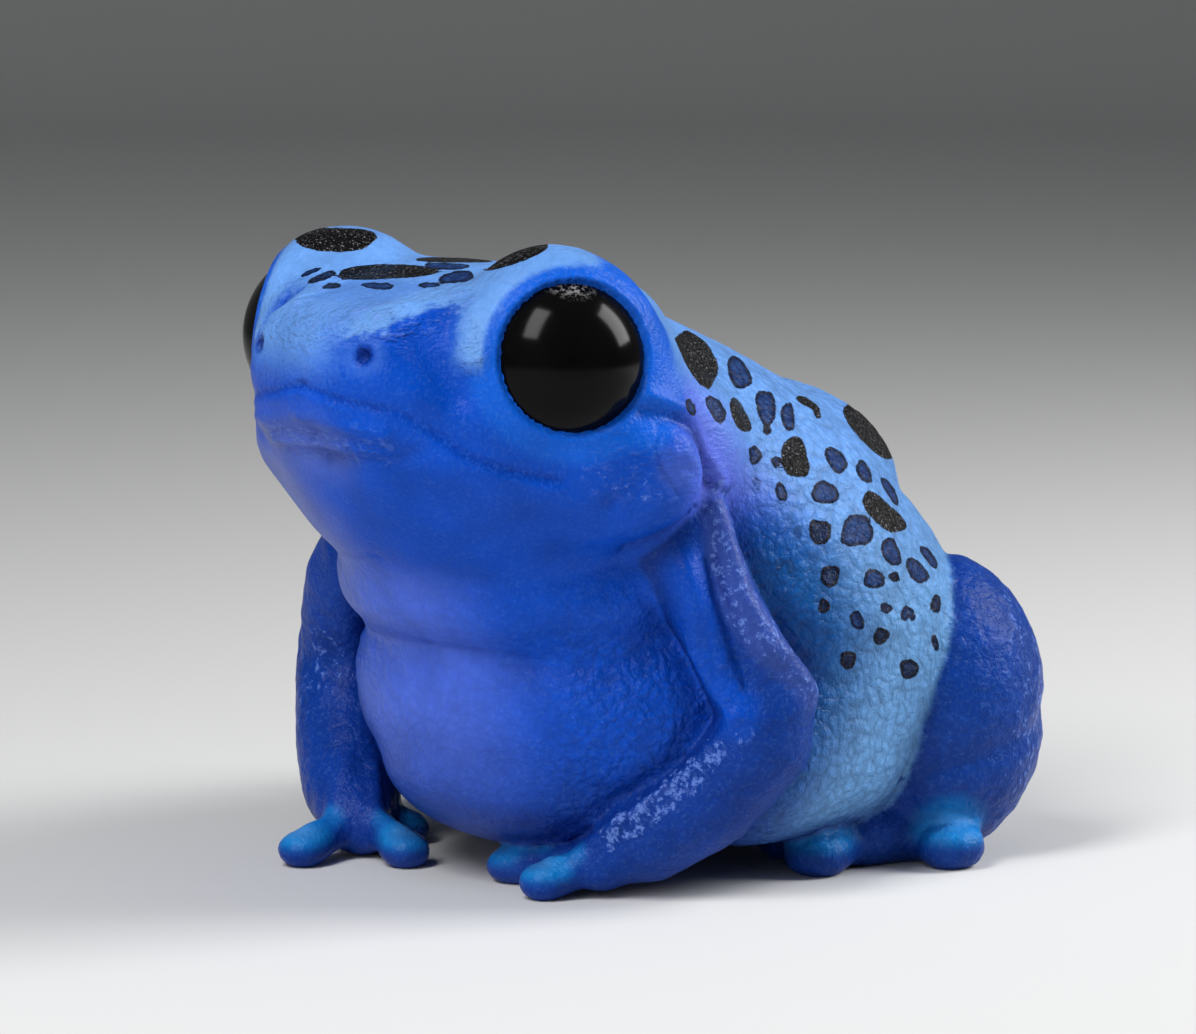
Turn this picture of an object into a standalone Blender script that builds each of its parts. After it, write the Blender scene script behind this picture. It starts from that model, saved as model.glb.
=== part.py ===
"""Moulded collector's figure of a cobalt poison dart frog, sitting with its head raised.

Everything is shaped in millimetres and scaled to metres at the end. The frog looks along -Y, its left
side is +X, and it rests on the plane z = 0. Until the last step, y = 0 lies between the two eyes.
"""

import math

import bmesh
import bpy
import numpy as np
from mathutils import Matrix, Vector
from mathutils.bvhtree import BVHTree

MM = 0.001

# Fit between separate pieces, and the finish of the fused masses
GAP = 0.32
TRUNK_VOXEL = 0.42
LIMB_VOXEL = 0.34
TRUNK_SMOOTHING = 14
ARM_SMOOTHING = 4
LEG_SMOOTHING = 6
SPHERE_DETAIL = 3

# Triangles that each finished piece keeps
TRUNK_TRIANGLES = 5600
ARM_TRIANGLES = 1300
LEG_TRIANGLES = 900

# Eyes: a shallow dome on a short round shank, set in a raised turret
EYE_RADIUS = 6.2
EYE_CENTRE = Vector((11.4, 0.2, 38.0))
EYE_AXIS = Vector((0.874, -0.465, 0.139)).normalized()
EYE_OPENING_DEPTH = 3.6
EYE_SHANK = 2.6
LID_THICKNESS = 0.9
LID_DEPTH = 2.3
LID_SEGMENTS = 16
DOME_STEPS = 5
DOME_SEGMENTS = 22
TURRET_SETBACK = (0, 0.5, -1.2)
TURRET_RADII = (6.9, 6.9, 7.4)

# Colours of the plain materials
COBALT = (0.03, 0.10, 0.62)
SKY = (0.16, 0.38, 0.78)
DEEP = (0.02, 0.05, 0.42)
BLACK = (0.004, 0.004, 0.005)


class Mass:
    """One ellipsoid of the body: its centre and its three radii."""

    def __init__(self, centre, radii):
        self.centre = Vector(centre)
        self.radii = Vector(radii)

    def mirrored(self):
        return Mass((-self.centre.x, self.centre.y, self.centre.z), self.radii)

    def matrix(self):
        return Matrix.Translation(self.centre) @ Matrix.Diagonal((*self.radii, 1.0))


def ball(x, y, z, radius):
    return Mass((x, y, z), (radius, radius, radius))


# Trunk: from the neck down over the shoulders to the hump of the hips
SPINE = (
    Mass((0, 9.5, 31.5), (14.0, 9.5, 9.0)),
    Mass((0, 14.5, 26.5), (17.5, 12.0, 13.2)),
    Mass((0, 21.5, 19.5), (21.3, 15.0, 17.0)),
    Mass((0, 26.8, 15.8), (21.3, 15.6, 14.3)),
)
BACK = (
    Mass((0, 12.5, 34.7), (13.0, 6.0, 6.4)),
    Mass((0, 20.5, 30.7), (14.0, 6.5, 7.0)),
    Mass((0, 27.0, 27.5), (13.5, 6.8, 7.0)),
    Mass((0, 32.6, 26.2), (12.0, 6.4, 7.0)),
    Mass((0, 36.0, 24.0), (8.5, 5.2, 6.0)),
)
FLANK = (ball(13.0, 17.0, 9.8, 7.3), ball(12.5, 25.2, 9.8, 7.4))
BELLY = Mass((0, 12.5, 13.5), (17.0, 13.5, 11.8))
BELLY_FLOOR = Mass((0, 10.5, 8.0), (12.8, 11.0, 6.2))
CHEST = Mass((0, 8.0, 21.5), (15.0, 12.0, 6.6))

# Head: a flat crown that narrows to a blunt snout, over a full throat. Each row is one side's ball.
UPPER_HEAD = (
    ball(2.0, -9.9, 38.3, 3.1),
    ball(4.4, -9.3, 38.4, 2.9),
    ball(2.0, -10.0, 36.0, 3.0),
    ball(5.0, -9.3, 35.9, 2.8),
    ball(7.2, -3.4, 39.4, 2.9),
    ball(10.4, -3.6, 34.4, 3.0),
    ball(12.5, 4.5, 37.0, 4.6),
    ball(14.6, 4.5, 32.4, 4.4),
    ball(7.0, 8.0, 37.6, 5.5),
    ball(4.0, 1.0, 39.6, 4.1),
)
NECK_SIDE = (ball(12.6, 5.5, 34.0, 5.0), ball(12.0, 10.0, 31.2, 5.8))
LOWER_JAW = (
    ball(4.4, -8.8, 33.8, 3.0),
    ball(9.6, -3.8, 31.6, 3.5),
    ball(14.0, 5.2, 29.8, 4.8),
)
THROAT = Mass((0, 2.5, 27.9), (12.4, 10.5, 7.6))

# Front legs. The right hand is set a little further forward than the left one.
ARM_LEFT = (
    ball(13.8, 9.4, 27.0, 3.2),
    ball(15.0, 8.9, 24.0, 3.3),
    ball(17.3, 10.7, 19.0, 3.0),
    ball(19.2, 12.8, 13.4, 3.2),
)
ARM_RIGHT = (
    ball(-13.8, 9.4, 27.0, 3.3),
    ball(-15.0, 8.9, 24.0, 3.4),
    ball(-18.6, 9.0, 19.0, 3.5),
    ball(-21.2, 10.6, 13.4, 3.6),
)
FOREARM_LEFT = (
    ball(18.9, 12.6, 11.2, 3.4),
    ball(15.6, 10.6, 7.0, 3.5),
    ball(12.4, 8.0, 4.4, 3.3),
    ball(10.6, 6.3, 3.0, 2.1),
)
FOREARM_RIGHT = (
    ball(-20.8, 10.2, 11.2, 3.7),
    ball(-18.3, 8.2, 7.0, 3.9),
    ball(-15.8, 6.0, 4.4, 3.5),
    ball(-12.8, 3.6, 2.6, 2.4),
)
PALM_RADII = (2.2, 2.1, 1.8)
PALM_LEFT = Mass((10.0, 5.7, 2.2), PALM_RADII)
PALM_RIGHT = Mass((-12.2, 3.6, 1.9), PALM_RADII)
FINGERS_LEFT = (((10.3, 4.9), (8.0, 2.2)), ((9.0, 5.6), (2.2, 4.7)), ((8.6, 6.6), (4.0, 8.8)))
FINGERS_RIGHT = (((-12.4, 2.4), (-12.3, -2.0)), ((-10.8, 3.6), (-6.9, 3.0)), ((-12.6, 5.0), (-13.0, 8.6)))
FINGER_RADIUS = 1.2
FINGERTIP_RADIUS = 1.75
FINGER_HEIGHT = 1.15
FINGER_RISE = 1.1
PAD_FLATNESS = 0.72
KNUCKLE_SHARE = 0.92

# Hind legs, folded beside the hips
THIGH = Mass((15.9, 34.1, 10.8), (7.7, 7.9, 10.9))
SOLE = (ball(16.4, 32.5, 2.8, 3.2), ball(15.6, 27.0, 2.2, 2.3))
TOES = (((15.4, 26.0), (15.6, 21.9)), ((17.0, 31.0), (20.6, 30.5)), ((14.5, 28.0), (10.0, 25.0)))
SHANK_FOLD = ((21.0, 27.5, 7.5), (23.0, 33.0, 8.5), (21.0, 38.5, 10.5), (16.0, 41.5, 13.0))
TOE_RADIUS = 1.6
TOE_TIP_RADIUS = 2.4
TOE_HEIGHT = 1.5
TOE_RISE = 0.3

# Lines of the face and the folds, each as points near the skin of the left side
MOUTH = (
    (0, -12.6, 36.3), (1.8, -12.6, 36.1), (3.6, -12.4, 35.5), (6.6, -11.4, 35.0), (8.8, -9.1, 33.7),
    (10.6, -7.4, 32.2), (12.3, -5.8, 31.2), (14.4, -2.6, 30.3), (15.6, -0.4, 29.9),
)
CHIN_CREASE = ((0, -10.9, 31.4), (3.6, -10.9, 31.5), (6.6, -9.6, 31.9))
THROAT_FOLD = ((0, -5.8, 22.6), (5.0, -4.6, 22.4), (9.4, -1.8, 22.8), (13.2, 3.0, 24.2), (16.6, 6.6, 26.6))
JAW_FOLD = ((16.6, 6.6, 26.6), (17.6, 8.4, 29.2), (18.0, 7.6, 31.8), (18.4, 4.6, 34.2), (17.2, 1.6, 34.7))
CHEST_FOLD = ((0, -0.6, 17.2), (4.0, -0.4, 17.0), (8.0, 1.2, 16.5), (12.0, 4.2, 16.8), (14.0, 7.0, 18.0))
EAR = ((18.3, 5.0, 31.6),)
NOSTRIL = ((5.0, -12.2, 38.7),)
CHEEK_DIMPLE = ((15.6, 0.6, 28.4), (16.6, 1.4, 28.7))

# Each row sinks (or, below zero, raises) the skin along a line: depth and width
FACE_LINES = (
    (MOUTH, 0.50, 0.62),
    (tuple((x, y, z + 1.3) for x, y, z in MOUTH), -0.10, 0.70),
    (tuple((x, y, z - 1.4) for x, y, z in MOUTH), -0.14, 0.80),
    (CHIN_CREASE, 0.30, 0.90),
    (NOSTRIL, 0.9, 0.75),
    (EAR, -0.45, 2.2),
    (CHEEK_DIMPLE, 0.4, 1.0),
)
LEG_FOLDS = ((SHANK_FOLD, 0.35, 1.3),)
ARM_RIDGE = ((16.6, 9.9, 29.5), (17.8, 9.9, 25.4), (19.6, 10.4, 21.4), (20.9, 12.0, 18.0), (22.0, 14.2, 14.8))
ARM_INNER = ((17.0, 6.7, 22.5), (17.2, 7.2, 18.5), (18.2, 8.4, 15.2), (19.6, 9.4, 12.6))
ARM_GROOVE = ((17.8, 8.0, 25.0), (18.9, 8.5, 21.5), (19.9, 9.2, 18.0), (20.9, 10.4, 15.0))
ARM_FOLDS = ((ARM_RIDGE, -0.45, 1.0), (ARM_INNER, -0.40, 1.0), (ARM_GROOVE, 0.65, 0.9))
FOLDS = (
    (THROAT_FOLD, 0.40, 1.3),
    (JAW_FOLD, 0.6, 0.7),
    (CHEST_FOLD, 0.35, 1.1),
)
DEEPEST = 1.4
HIGHEST = 1.2

# The cut between head and torso, from under the throat up behind the crown, in the YZ plane
NECK_CUT = ((-20, 19.5), (-6, 22.4), (3, 22.8), (7.5, 25.0), (10.2, 29.5), (12, 36), (13.5, 43), (15, 50))

# Where each limb is parted: a point on the cut and the way to the limb's end
WRIST_LEFT = ((11.6, 7.2, 3.8), (-0.67, -0.63, -0.38))
WRIST_RIGHT = ((-13.9, 4.8, 3.5), (0.60, -0.68, -0.42))
ELBOW_HEIGHT = 12.3
ANKLE_HEIGHT = 4.4
FAR = 60.0


def hull(masses):
    """A closed convex piece around any number of masses."""
    bm = bmesh.new()
    for mass in masses:
        bmesh.ops.create_icosphere(bm, subdivisions=SPHERE_DETAIL, radius=1.0, matrix=mass.matrix())
    made = bmesh.ops.convex_hull(bm, input=bm.verts)
    kept = set(made["geom"])
    bmesh.ops.delete(bm, geom=[f for f in bm.faces if f not in kept], context="FACES_ONLY")
    bmesh.ops.delete(bm, geom=[e for e in bm.edges if not e.link_faces], context="EDGES")
    bmesh.ops.delete(bm, geom=[v for v in bm.verts if not v.link_faces], context="VERTS")
    bmesh.ops.recalc_face_normals(bm, faces=bm.faces)
    return bm


def strand(masses):
    """Convex pieces around each pair of neighbouring masses."""
    return [hull(pair) for pair in zip(masses, masses[1:])]


def both_sides(masses):
    return list(masses) + [m.mirrored() for m in masses]


def paint(name, colour, roughness):
    material = bpy.data.materials.new(name)
    material.use_nodes = True
    shader = material.node_tree.nodes["Principled BSDF"]
    shader.inputs["Base Color"].default_value = (*colour, 1.0)
    shader.inputs["Roughness"].default_value = roughness
    return material


def object_of(name, bm):
    mesh = bpy.data.meshes.new(name)
    bm.to_mesh(mesh)
    bm.free()
    obj = bpy.data.objects.new(name, mesh)
    bpy.context.scene.collection.objects.link(obj)
    return obj


def joined(name, pieces):
    """One object that holds all the pieces, which may still cross each other."""
    whole = bmesh.new()
    for bm in pieces:
        part = bpy.data.meshes.new("part")
        bm.to_mesh(part)
        bm.free()
        whole.from_mesh(part)
        bpy.data.meshes.remove(part)
    return object_of(name, whole)


def applied(obj):
    """Replaces the object's mesh by what its modifiers make of it."""
    graph = bpy.context.evaluated_depsgraph_get()
    mesh = bpy.data.meshes.new_from_object(obj.evaluated_get(graph))
    obj.modifiers.clear()
    old = obj.data
    obj.data = mesh
    bpy.data.meshes.remove(old)
    return obj


def removed(obj):
    mesh = obj.data
    bpy.data.objects.remove(obj)
    bpy.data.meshes.remove(mesh)


def fused(name, pieces, voxel, rounds):
    """The pieces as one closed body, with the creases between them softened."""
    obj = joined(name, pieces)
    remesh = obj.modifiers.new("fuse", "REMESH")
    remesh.mode = "VOXEL"
    remesh.voxel_size = voxel
    soften = obj.modifiers.new("soften", "SMOOTH")
    soften.factor = 0.5
    soften.iterations = rounds
    return applied(obj)


def thinned(obj, triangles):
    """Fewer triangles, most of them where the form bends."""
    now = sum(len(p.vertices) - 2 for p in obj.data.polygons)
    fewer = obj.modifiers.new("fewer", "DECIMATE")
    fewer.ratio = min(1.0, triangles / now)
    return applied(obj)


def copied(obj, name):
    twin = bpy.data.objects.new(name, obj.data.copy())
    bpy.context.scene.collection.objects.link(twin)
    return twin


def sheath(obj, by):
    """A closed body that is this much thicker all over, to cut the limbs clear with."""
    skin = copied(obj, "sheath")
    normals = [v.normal.copy() for v in skin.data.vertices]
    for vertex, normal in zip(skin.data.vertices, normals):
        vertex.co += normal * by
    close = skin.modifiers.new("close", "REMESH")
    close.mode = "VOXEL"
    close.voxel_size = TRUNK_VOXEL
    return thinned(applied(skin), TRUNK_TRIANGLES)


def cut(obj, cutter, keep_cutter=False):
    """Takes the cutter out of the body, and keeps the body's largest piece."""
    less = obj.modifiers.new("less", "BOOLEAN")
    less.operation = "DIFFERENCE"
    less.object = cutter
    applied(obj)
    if not keep_cutter:
        removed(cutter)
    return keep_largest(obj)


def keep_largest(obj):
    bm = bmesh.new()
    bm.from_mesh(obj.data)
    unseen = set(bm.verts)
    groups = []
    while unseen:
        group = {unseen.pop()}
        front = list(group)
        while front:
            vertex = front.pop()
            for link in vertex.link_edges:
                other = link.other_vert(vertex)
                if other in unseen:
                    unseen.remove(other)
                    group.add(other)
                    front.append(other)
        groups.append(group)
    groups.sort(key=len)
    for group in groups[:-1]:
        bmesh.ops.delete(bm, geom=list(group), context="VERTS")
    bm.to_mesh(obj.data)
    bm.free()
    return obj


def prism(name, outline, reach):
    """A cutter: an outline in the YZ plane, carried from -reach to +reach along X."""
    bm = bmesh.new()
    face = bm.faces.new([bm.verts.new((-reach, y, z)) for y, z in outline])
    made = bmesh.ops.extrude_face_region(bm, geom=[face])
    moved = [v for v in made["geom"] if isinstance(v, bmesh.types.BMVert)]
    bmesh.ops.translate(bm, vec=(2 * reach, 0, 0), verts=moved)
    bmesh.ops.recalc_face_normals(bm, faces=bm.faces)
    return object_of(name, bm)


def half_space(name, point, normal, clear):
    """A cutter: everything past the point along the normal, from this far behind the point on."""
    away = Vector(normal).normalized()
    turn = away.to_track_quat("Z", "Y").to_matrix().to_4x4()
    size = Matrix.Diagonal((2 * FAR, 2 * FAR, FAR, 1))
    middle = Vector(point) + away * (FAR / 2 - clear)
    bm = bmesh.new()
    bmesh.ops.create_cube(bm, size=1.0, matrix=Matrix.Translation(middle) @ turn @ size)
    return object_of(name, bm)


def parted(obj, near_name, far_name, point, normal):
    """Two bodies on either side of a plane, with the fit between them."""
    far = copied(obj, far_name)
    obj.name = near_name
    back = tuple(-c for c in normal)
    cut(obj, half_space("past", point, normal, GAP / 2))
    cut(far, half_space("before", point, back, GAP / 2))
    return obj, far


def distances(points, line):
    """The distance from each of the points to a line of one or more points."""
    best = np.full(len(points), np.inf)
    for start, end in zip(line, line[1:] or line):
        start = np.array(start, float)
        along = np.array(end, float) - start
        length = max(float(along @ along), 1e-9)
        share = np.clip((points - start) @ along / length, 0.0, 1.0)
        gap = np.linalg.norm(points - start - share[:, None] * along, axis=1)
        best = np.minimum(best, gap)
    return best


def carve(obj, lines, sides):
    """Sinks or raises the skin beside each line on the left side (1), the right side (-1) or both."""
    mesh = obj.data
    tree = BVHTree.FromObject(obj, bpy.context.evaluated_depsgraph_get())
    count = len(mesh.vertices)
    points = np.empty(count * 3, dtype=np.float32)
    mesh.vertices.foreach_get("co", points)
    points = points.reshape(-1, 3).astype(float)
    normals = np.empty(count * 3, dtype=np.float32)
    mesh.vertex_normals.foreach_get("vector", normals)
    normals = normals.reshape(-1, 3)
    sink = np.zeros(count)
    for line, depth, width in lines:
        for side in sides:
            on_skin = [tuple(tree.find_nearest(flipped(p, side))[0]) for p in line]
            sink += depth * np.exp(-((distances(points, on_skin) / width) ** 2))
    points -= normals * np.clip(sink, -HIGHEST, DEEPEST)[:, None]
    mesh.vertices.foreach_set("co", points.astype(np.float32).ravel())
    mesh.update()


def flipped(vector, side):
    return Vector((vector[0] * side, vector[1], vector[2]))


def sided(mass, side):
    return mass if side > 0 else mass.mirrored()


def eye_frame(side):
    turn = flipped(EYE_AXIS, side).to_track_quat("Z", "Y").to_matrix().to_4x4()
    return Matrix.Translation(flipped(EYE_CENTRE, side)) @ turn


def opening_radius():
    return math.sqrt(EYE_RADIUS**2 - EYE_OPENING_DEPTH**2)


def turret_masses(side):
    """The raised bulge that carries the eye, ending in a rounded rim."""
    frame = eye_frame(side)
    masses = [Mass(frame @ Vector(TURRET_SETBACK), TURRET_RADII)]
    rim = opening_radius() + GAP + LID_THICKNESS
    for k in range(LID_SEGMENTS):
        angle = 2 * math.pi * k / LID_SEGMENTS
        spot = frame @ Vector((rim * math.cos(angle), rim * math.sin(angle), LID_DEPTH))
        masses.append(ball(*spot, LID_THICKNESS))
    return masses


def eye_solid(name, side, grow):
    """The dome and its shank, turned about the eye's axis."""
    rim = opening_radius() + grow
    radius = EYE_RADIUS + grow
    bottom = EYE_OPENING_DEPTH - EYE_SHANK - grow
    start = math.asin(rim / radius)
    profile = [(0.0, radius)]
    for k in range(1, DOME_STEPS + 1):
        angle = start * k / DOME_STEPS
        profile.append((radius * math.sin(angle), radius * math.cos(angle)))
    profile += [(rim, bottom), (0.0, bottom)]
    bm = bmesh.new()
    verts = [bm.verts.new((r, 0, h)) for r, h in profile]
    edges = [bm.edges.new(pair) for pair in zip(verts, verts[1:])]
    bmesh.ops.spin(
        bm,
        geom=verts + edges,
        cent=(0, 0, 0),
        axis=(0, 0, 1),
        angle=2 * math.pi,
        steps=DOME_SEGMENTS,
        use_merge=True,
    )
    bmesh.ops.remove_doubles(bm, verts=bm.verts, dist=0.001)
    bmesh.ops.transform(bm, matrix=eye_frame(side), verts=bm.verts)
    bmesh.ops.recalc_face_normals(bm, faces=bm.faces)
    return object_of(name, bm)


def trunk_pieces():
    pieces = strand(SPINE)
    pieces += [hull([mass]) for mass in (BELLY, BELLY_FLOOR, CHEST)]
    pieces += strand(BACK)
    pieces += [hull(both_sides(FLANK) + [SPINE[-1]]), hull(both_sides(NECK_SIDE))]
    pieces.append(hull(both_sides(UPPER_HEAD)))
    pieces.append(hull(both_sides(LOWER_JAW) + [THROAT]))
    for side in (1, -1):
        pieces.append(hull(turret_masses(side)))
    return pieces


def head_and_torso(whole):
    """The trunk in two, parted along the fold of the throat and behind the jaw."""
    torso = copied(whole, "torso")
    whole.name = "head"
    below = list(NECK_CUT) + [(FAR, 50), (FAR, -FAR), (-FAR, -FAR), (-FAR, 19.5)]
    above = [(y + GAP, z - GAP) for y, z in NECK_CUT] + [(15, FAR), (-FAR, FAR), (-FAR, 19.5)]
    cut(whole, prism("below", below, FAR))
    cut(torso, prism("above", above, FAR))
    return whole, torso


def digits(paths, radius, tip, height, rise):
    """Fingers or toes, each falling from its root to a flattened pad that rests on the floor."""
    pieces = []
    for start, end in paths:
        root = ball(*start, height + rise, radius)
        pad = Mass((*end, height), (tip, tip, tip * PAD_FLATNESS))
        knuckle = ball(*root.centre.lerp(pad.centre, 0.5), radius * KNUCKLE_SHARE)
        pieces += [hull([root, knuckle]), hull([knuckle, pad])]
    return pieces


def fitted(obj, shell):
    """Cuts a piece of a limb clear of the trunk, and makes it flat where it stands."""
    cut(obj, shell, keep_cutter=True)
    if min(v.co.z for v in obj.data.vertices) < 0:
        cut(obj, half_space("floor", (0, 0, 0), (0, 0, -1), 0.0))
    return obj


def standing_centre(objects):
    """The middle of the whole figure's footprint, on the floor."""
    corners = [v.co for obj in objects for v in obj.data.vertices]
    low = [min(c[axis] for c in corners) for axis in range(2)]
    high = [max(c[axis] for c in corners) for axis in range(2)]
    return Vector(((low[0] + high[0]) / 2, (low[1] + high[1]) / 2, 0.0))


def main():
    for obj in list(bpy.data.objects):
        bpy.data.objects.remove(obj)

    cobalt = paint("cobalt_paint", COBALT, 0.45)
    sky = paint("sky_blue_paint", SKY, 0.45)
    deep = paint("deep_blue_paint", DEEP, 0.42)
    gloss = paint("black_gloss", BLACK, 0.05)

    whole = fused("trunk", trunk_pieces(), TRUNK_VOXEL, TRUNK_SMOOTHING)
    carve(whole, FACE_LINES + FOLDS, (1, -1))
    shell = sheath(whole, GAP)
    for side, word in ((1, "left"), (-1, "right")):
        cut(whole, eye_solid(f"socket_{word}", side, GAP))
    thinned(whole, TRUNK_TRIANGLES)
    head, torso = head_and_torso(whole)
    nodes = [(head, cobalt), (torso, sky)]
    for side, word in ((1, "left"), (-1, "right")):
        nodes.append((eye_solid(f"eye_{word}", side, 0.0), gloss))

    arms = (
        (1, "left", ARM_LEFT, FOREARM_LEFT, PALM_LEFT, FINGERS_LEFT, WRIST_LEFT),
        (-1, "right", ARM_RIGHT, FOREARM_RIGHT, PALM_RIGHT, FINGERS_RIGHT, WRIST_RIGHT),
    )
    for side, word, upper, fore, palm, fingers, wrist in arms:
        pieces = strand(upper) + strand(fore) + [hull([upper[-1], fore[0]]), hull([palm, fore[-1]])]
        pieces += digits(fingers, FINGER_RADIUS, FINGERTIP_RADIUS, FINGER_HEIGHT, FINGER_RISE)
        arm = fused(f"arm_{word}", pieces, LIMB_VOXEL, ARM_SMOOTHING)
        carve(arm, ARM_FOLDS, (side,))
        thinned(arm, ARM_TRIANGLES)
        arm, hand = parted(arm, f"arm_{word}", f"hand_{word}", *wrist)
        elbow = (*upper[-1].centre.xy, ELBOW_HEIGHT)
        upper_arm, forearm = parted(arm, f"upper_arm_{word}", f"forearm_{word}", elbow, (0, 0, -1))
        nodes += [(fitted(piece, shell), deep) for piece in (upper_arm, forearm, hand)]

    for side, word in ((1, "left"), (-1, "right")):
        pieces = [hull([sided(THIGH, side)]), *strand([sided(m, side) for m in SOLE])]
        toes = [tuple((x * side, y) for x, y in path) for path in TOES]
        pieces += digits(toes, TOE_RADIUS, TOE_TIP_RADIUS, TOE_HEIGHT, TOE_RISE)
        leg = fused(f"leg_{word}", pieces, LIMB_VOXEL, LEG_SMOOTHING)
        carve(leg, LEG_FOLDS, (side,))
        thinned(leg, LEG_TRIANGLES)
        ankle = (0, 0, ANKLE_HEIGHT)
        hind_leg, hind_foot = parted(leg, f"hind_leg_{word}", f"hind_foot_{word}", ankle, (0, 0, -1))
        nodes += [(fitted(piece, shell), deep) for piece in (hind_leg, hind_foot)]
    removed(shell)

    centre = standing_centre([obj for obj, _ in nodes])
    for obj, material in nodes:
        obj.data.materials.clear()
        obj.data.materials.append(material)
        obj.data.transform(Matrix.Scale(MM, 4) @ Matrix.Translation(-centre))
        obj.data.shade_smooth()


if __name__ == "__main__":
    main()
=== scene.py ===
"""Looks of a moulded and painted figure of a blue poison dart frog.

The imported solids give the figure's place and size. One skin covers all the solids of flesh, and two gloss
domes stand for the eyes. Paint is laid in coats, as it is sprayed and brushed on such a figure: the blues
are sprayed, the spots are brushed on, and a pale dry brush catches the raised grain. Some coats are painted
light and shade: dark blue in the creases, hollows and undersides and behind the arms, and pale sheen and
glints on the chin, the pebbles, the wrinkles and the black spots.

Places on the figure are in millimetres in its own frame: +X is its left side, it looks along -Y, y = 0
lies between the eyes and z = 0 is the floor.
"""

import logging
import math
from dataclasses import dataclass, field
from enum import Enum
from typing import Iterable, Optional, Sequence

import bmesh
import bpy
import numpy as np
from mathutils import Matrix, Vector, noise
from mathutils.bvhtree import BVHTree


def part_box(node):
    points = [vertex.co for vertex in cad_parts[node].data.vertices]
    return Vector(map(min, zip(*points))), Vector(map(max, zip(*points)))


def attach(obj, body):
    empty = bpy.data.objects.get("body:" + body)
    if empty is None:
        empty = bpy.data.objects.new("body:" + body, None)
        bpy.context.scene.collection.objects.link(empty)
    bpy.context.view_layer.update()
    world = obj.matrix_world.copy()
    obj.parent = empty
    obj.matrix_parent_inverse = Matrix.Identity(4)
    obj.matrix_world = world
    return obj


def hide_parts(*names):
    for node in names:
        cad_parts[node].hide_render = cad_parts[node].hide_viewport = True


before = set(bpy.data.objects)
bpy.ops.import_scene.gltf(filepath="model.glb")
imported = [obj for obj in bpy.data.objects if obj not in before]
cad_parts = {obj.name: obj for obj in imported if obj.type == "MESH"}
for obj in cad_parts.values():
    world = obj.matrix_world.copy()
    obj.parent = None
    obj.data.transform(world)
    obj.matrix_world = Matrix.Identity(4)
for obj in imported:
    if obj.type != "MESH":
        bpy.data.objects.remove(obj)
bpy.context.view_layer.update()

log = logging.getLogger("figure")

MM = 0.001
Point = tuple[float, float, float]
Socket = bpy.types.NodeSocket


class Blue(Enum):
    """Paints of the figure, blue but for a few, as linear red, green and blue. Some stand for painted shade,
    painted sheen and painted glints.
    """

    COBALT = (0.001, 0.064, 0.49)
    SKY = (0.125, 0.300, 0.69)
    FLANK = (0.130, 0.310, 0.61)
    # Painted shade: dark teal on the flanks just behind the arms.
    ARM_SHADOW_TEAL = (0.006, 0.085, 0.30)
    VIOLET = (0.066, 0.135, 0.64)
    NECK = (0.110, 0.155, 0.70)
    DEEP = (0.003, 0.034, 0.25)
    LID = (0.003, 0.098, 0.58)
    CYAN = (0.006, 0.200, 0.56)
    # Pale dry brush; also the painted glints on the pebbles and the wrinkles.
    DRY_BRUSH_AND_GLINT = (0.150, 0.270, 0.72)
    # Painted sheen on the chin and the throat; also the grey-blue paint of the arms' ridge band.
    GREY_BAND_AND_SHEEN = (0.110, 0.150, 0.46)
    # Painted shade in the creases, the nostril pits and the hollows.
    SHADE_BLUE = (0.001, 0.010, 0.14)
    NAVY = (0.003, 0.017, 0.085)
    NAVY_RIM = (0.001, 0.005, 0.025)
    NAVY_THIN = (0.016, 0.060, 0.21)
    BLACK = (0.0012, 0.0012, 0.0015)
    BLACK_WARM = (0.003, 0.0028, 0.003)
    # Painted glints on the black spots.
    GLINT_GREY = (0.20, 0.20, 0.23)
    # Pale flecks of the eyes' rough patch, painted as glints.
    ROUGH_PAINT_AND_GLINT = (0.26, 0.25, 0.25)


class Tone(Enum):
    """How dark a spot is, from a faint navy haze to full black."""

    FAINT = -0.55
    NAVY = 0.0
    DARK = 0.55
    BLACK = 1.0


def smooth(values: np.ndarray, low: float, high: float) -> np.ndarray:
    """A soft step.

    Args:
        values: what is measured.
        low: where the step starts, which may be above high.
        high: where it ends.

    Returns:
        0 at low, 1 at high, and an even curve between them.
    """
    t = np.clip((values - low) / (high - low), 0.0, 1.0)
    return t * t * (3.0 - 2.0 * t)


def line_distance(points: np.ndarray, line: Sequence[Point]) -> np.ndarray:
    """The distance from each point to a line of one or more corners.

    Args:
        points: rows of x, y, z.
        line: the corners.

    Returns:
        One distance for each row.
    """
    best = np.full(len(points), np.inf)
    corners = list(line)
    for start, end in zip(corners, corners[1:] or corners):
        first = np.array(start, float)
        along = np.array(end, float) - first
        share = np.clip((points - first) @ along / max(float(along @ along), 1e-9), 0.0, 1.0)
        best = np.minimum(best, np.linalg.norm(points - first - share[:, None] * along, axis=1))
    return best


@dataclass(frozen=True)
class FigureFrame:
    """Turns places on the figure, in its own millimetres, into metres of the frame and back."""

    origin: Vector

    EYE_BOX_Y = -0.87

    @classmethod
    def from_eyes(cls) -> "FigureFrame":
        """Finds the figure from the boxes of its two eyes."""
        low = [min(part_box(name)[0][k] for name in ("eye_left", "eye_right")) for k in range(3)]
        high = [max(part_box(name)[1][k] for name in ("eye_left", "eye_right")) for k in range(3)]
        middle = [(a + b) / 2 for a, b in zip(low, high)]
        return cls(Vector((middle[0], middle[1] - cls.EYE_BOX_Y * MM, 0.0)))

    def metres(self, place: Iterable[float]) -> Vector:
        """A place in metres."""
        return Vector(place) * MM + self.origin

    def matrix(self) -> Matrix:
        """The turn from millimetres to metres."""
        return Matrix.Translation(self.origin) @ Matrix.Scale(MM, 4)


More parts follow.
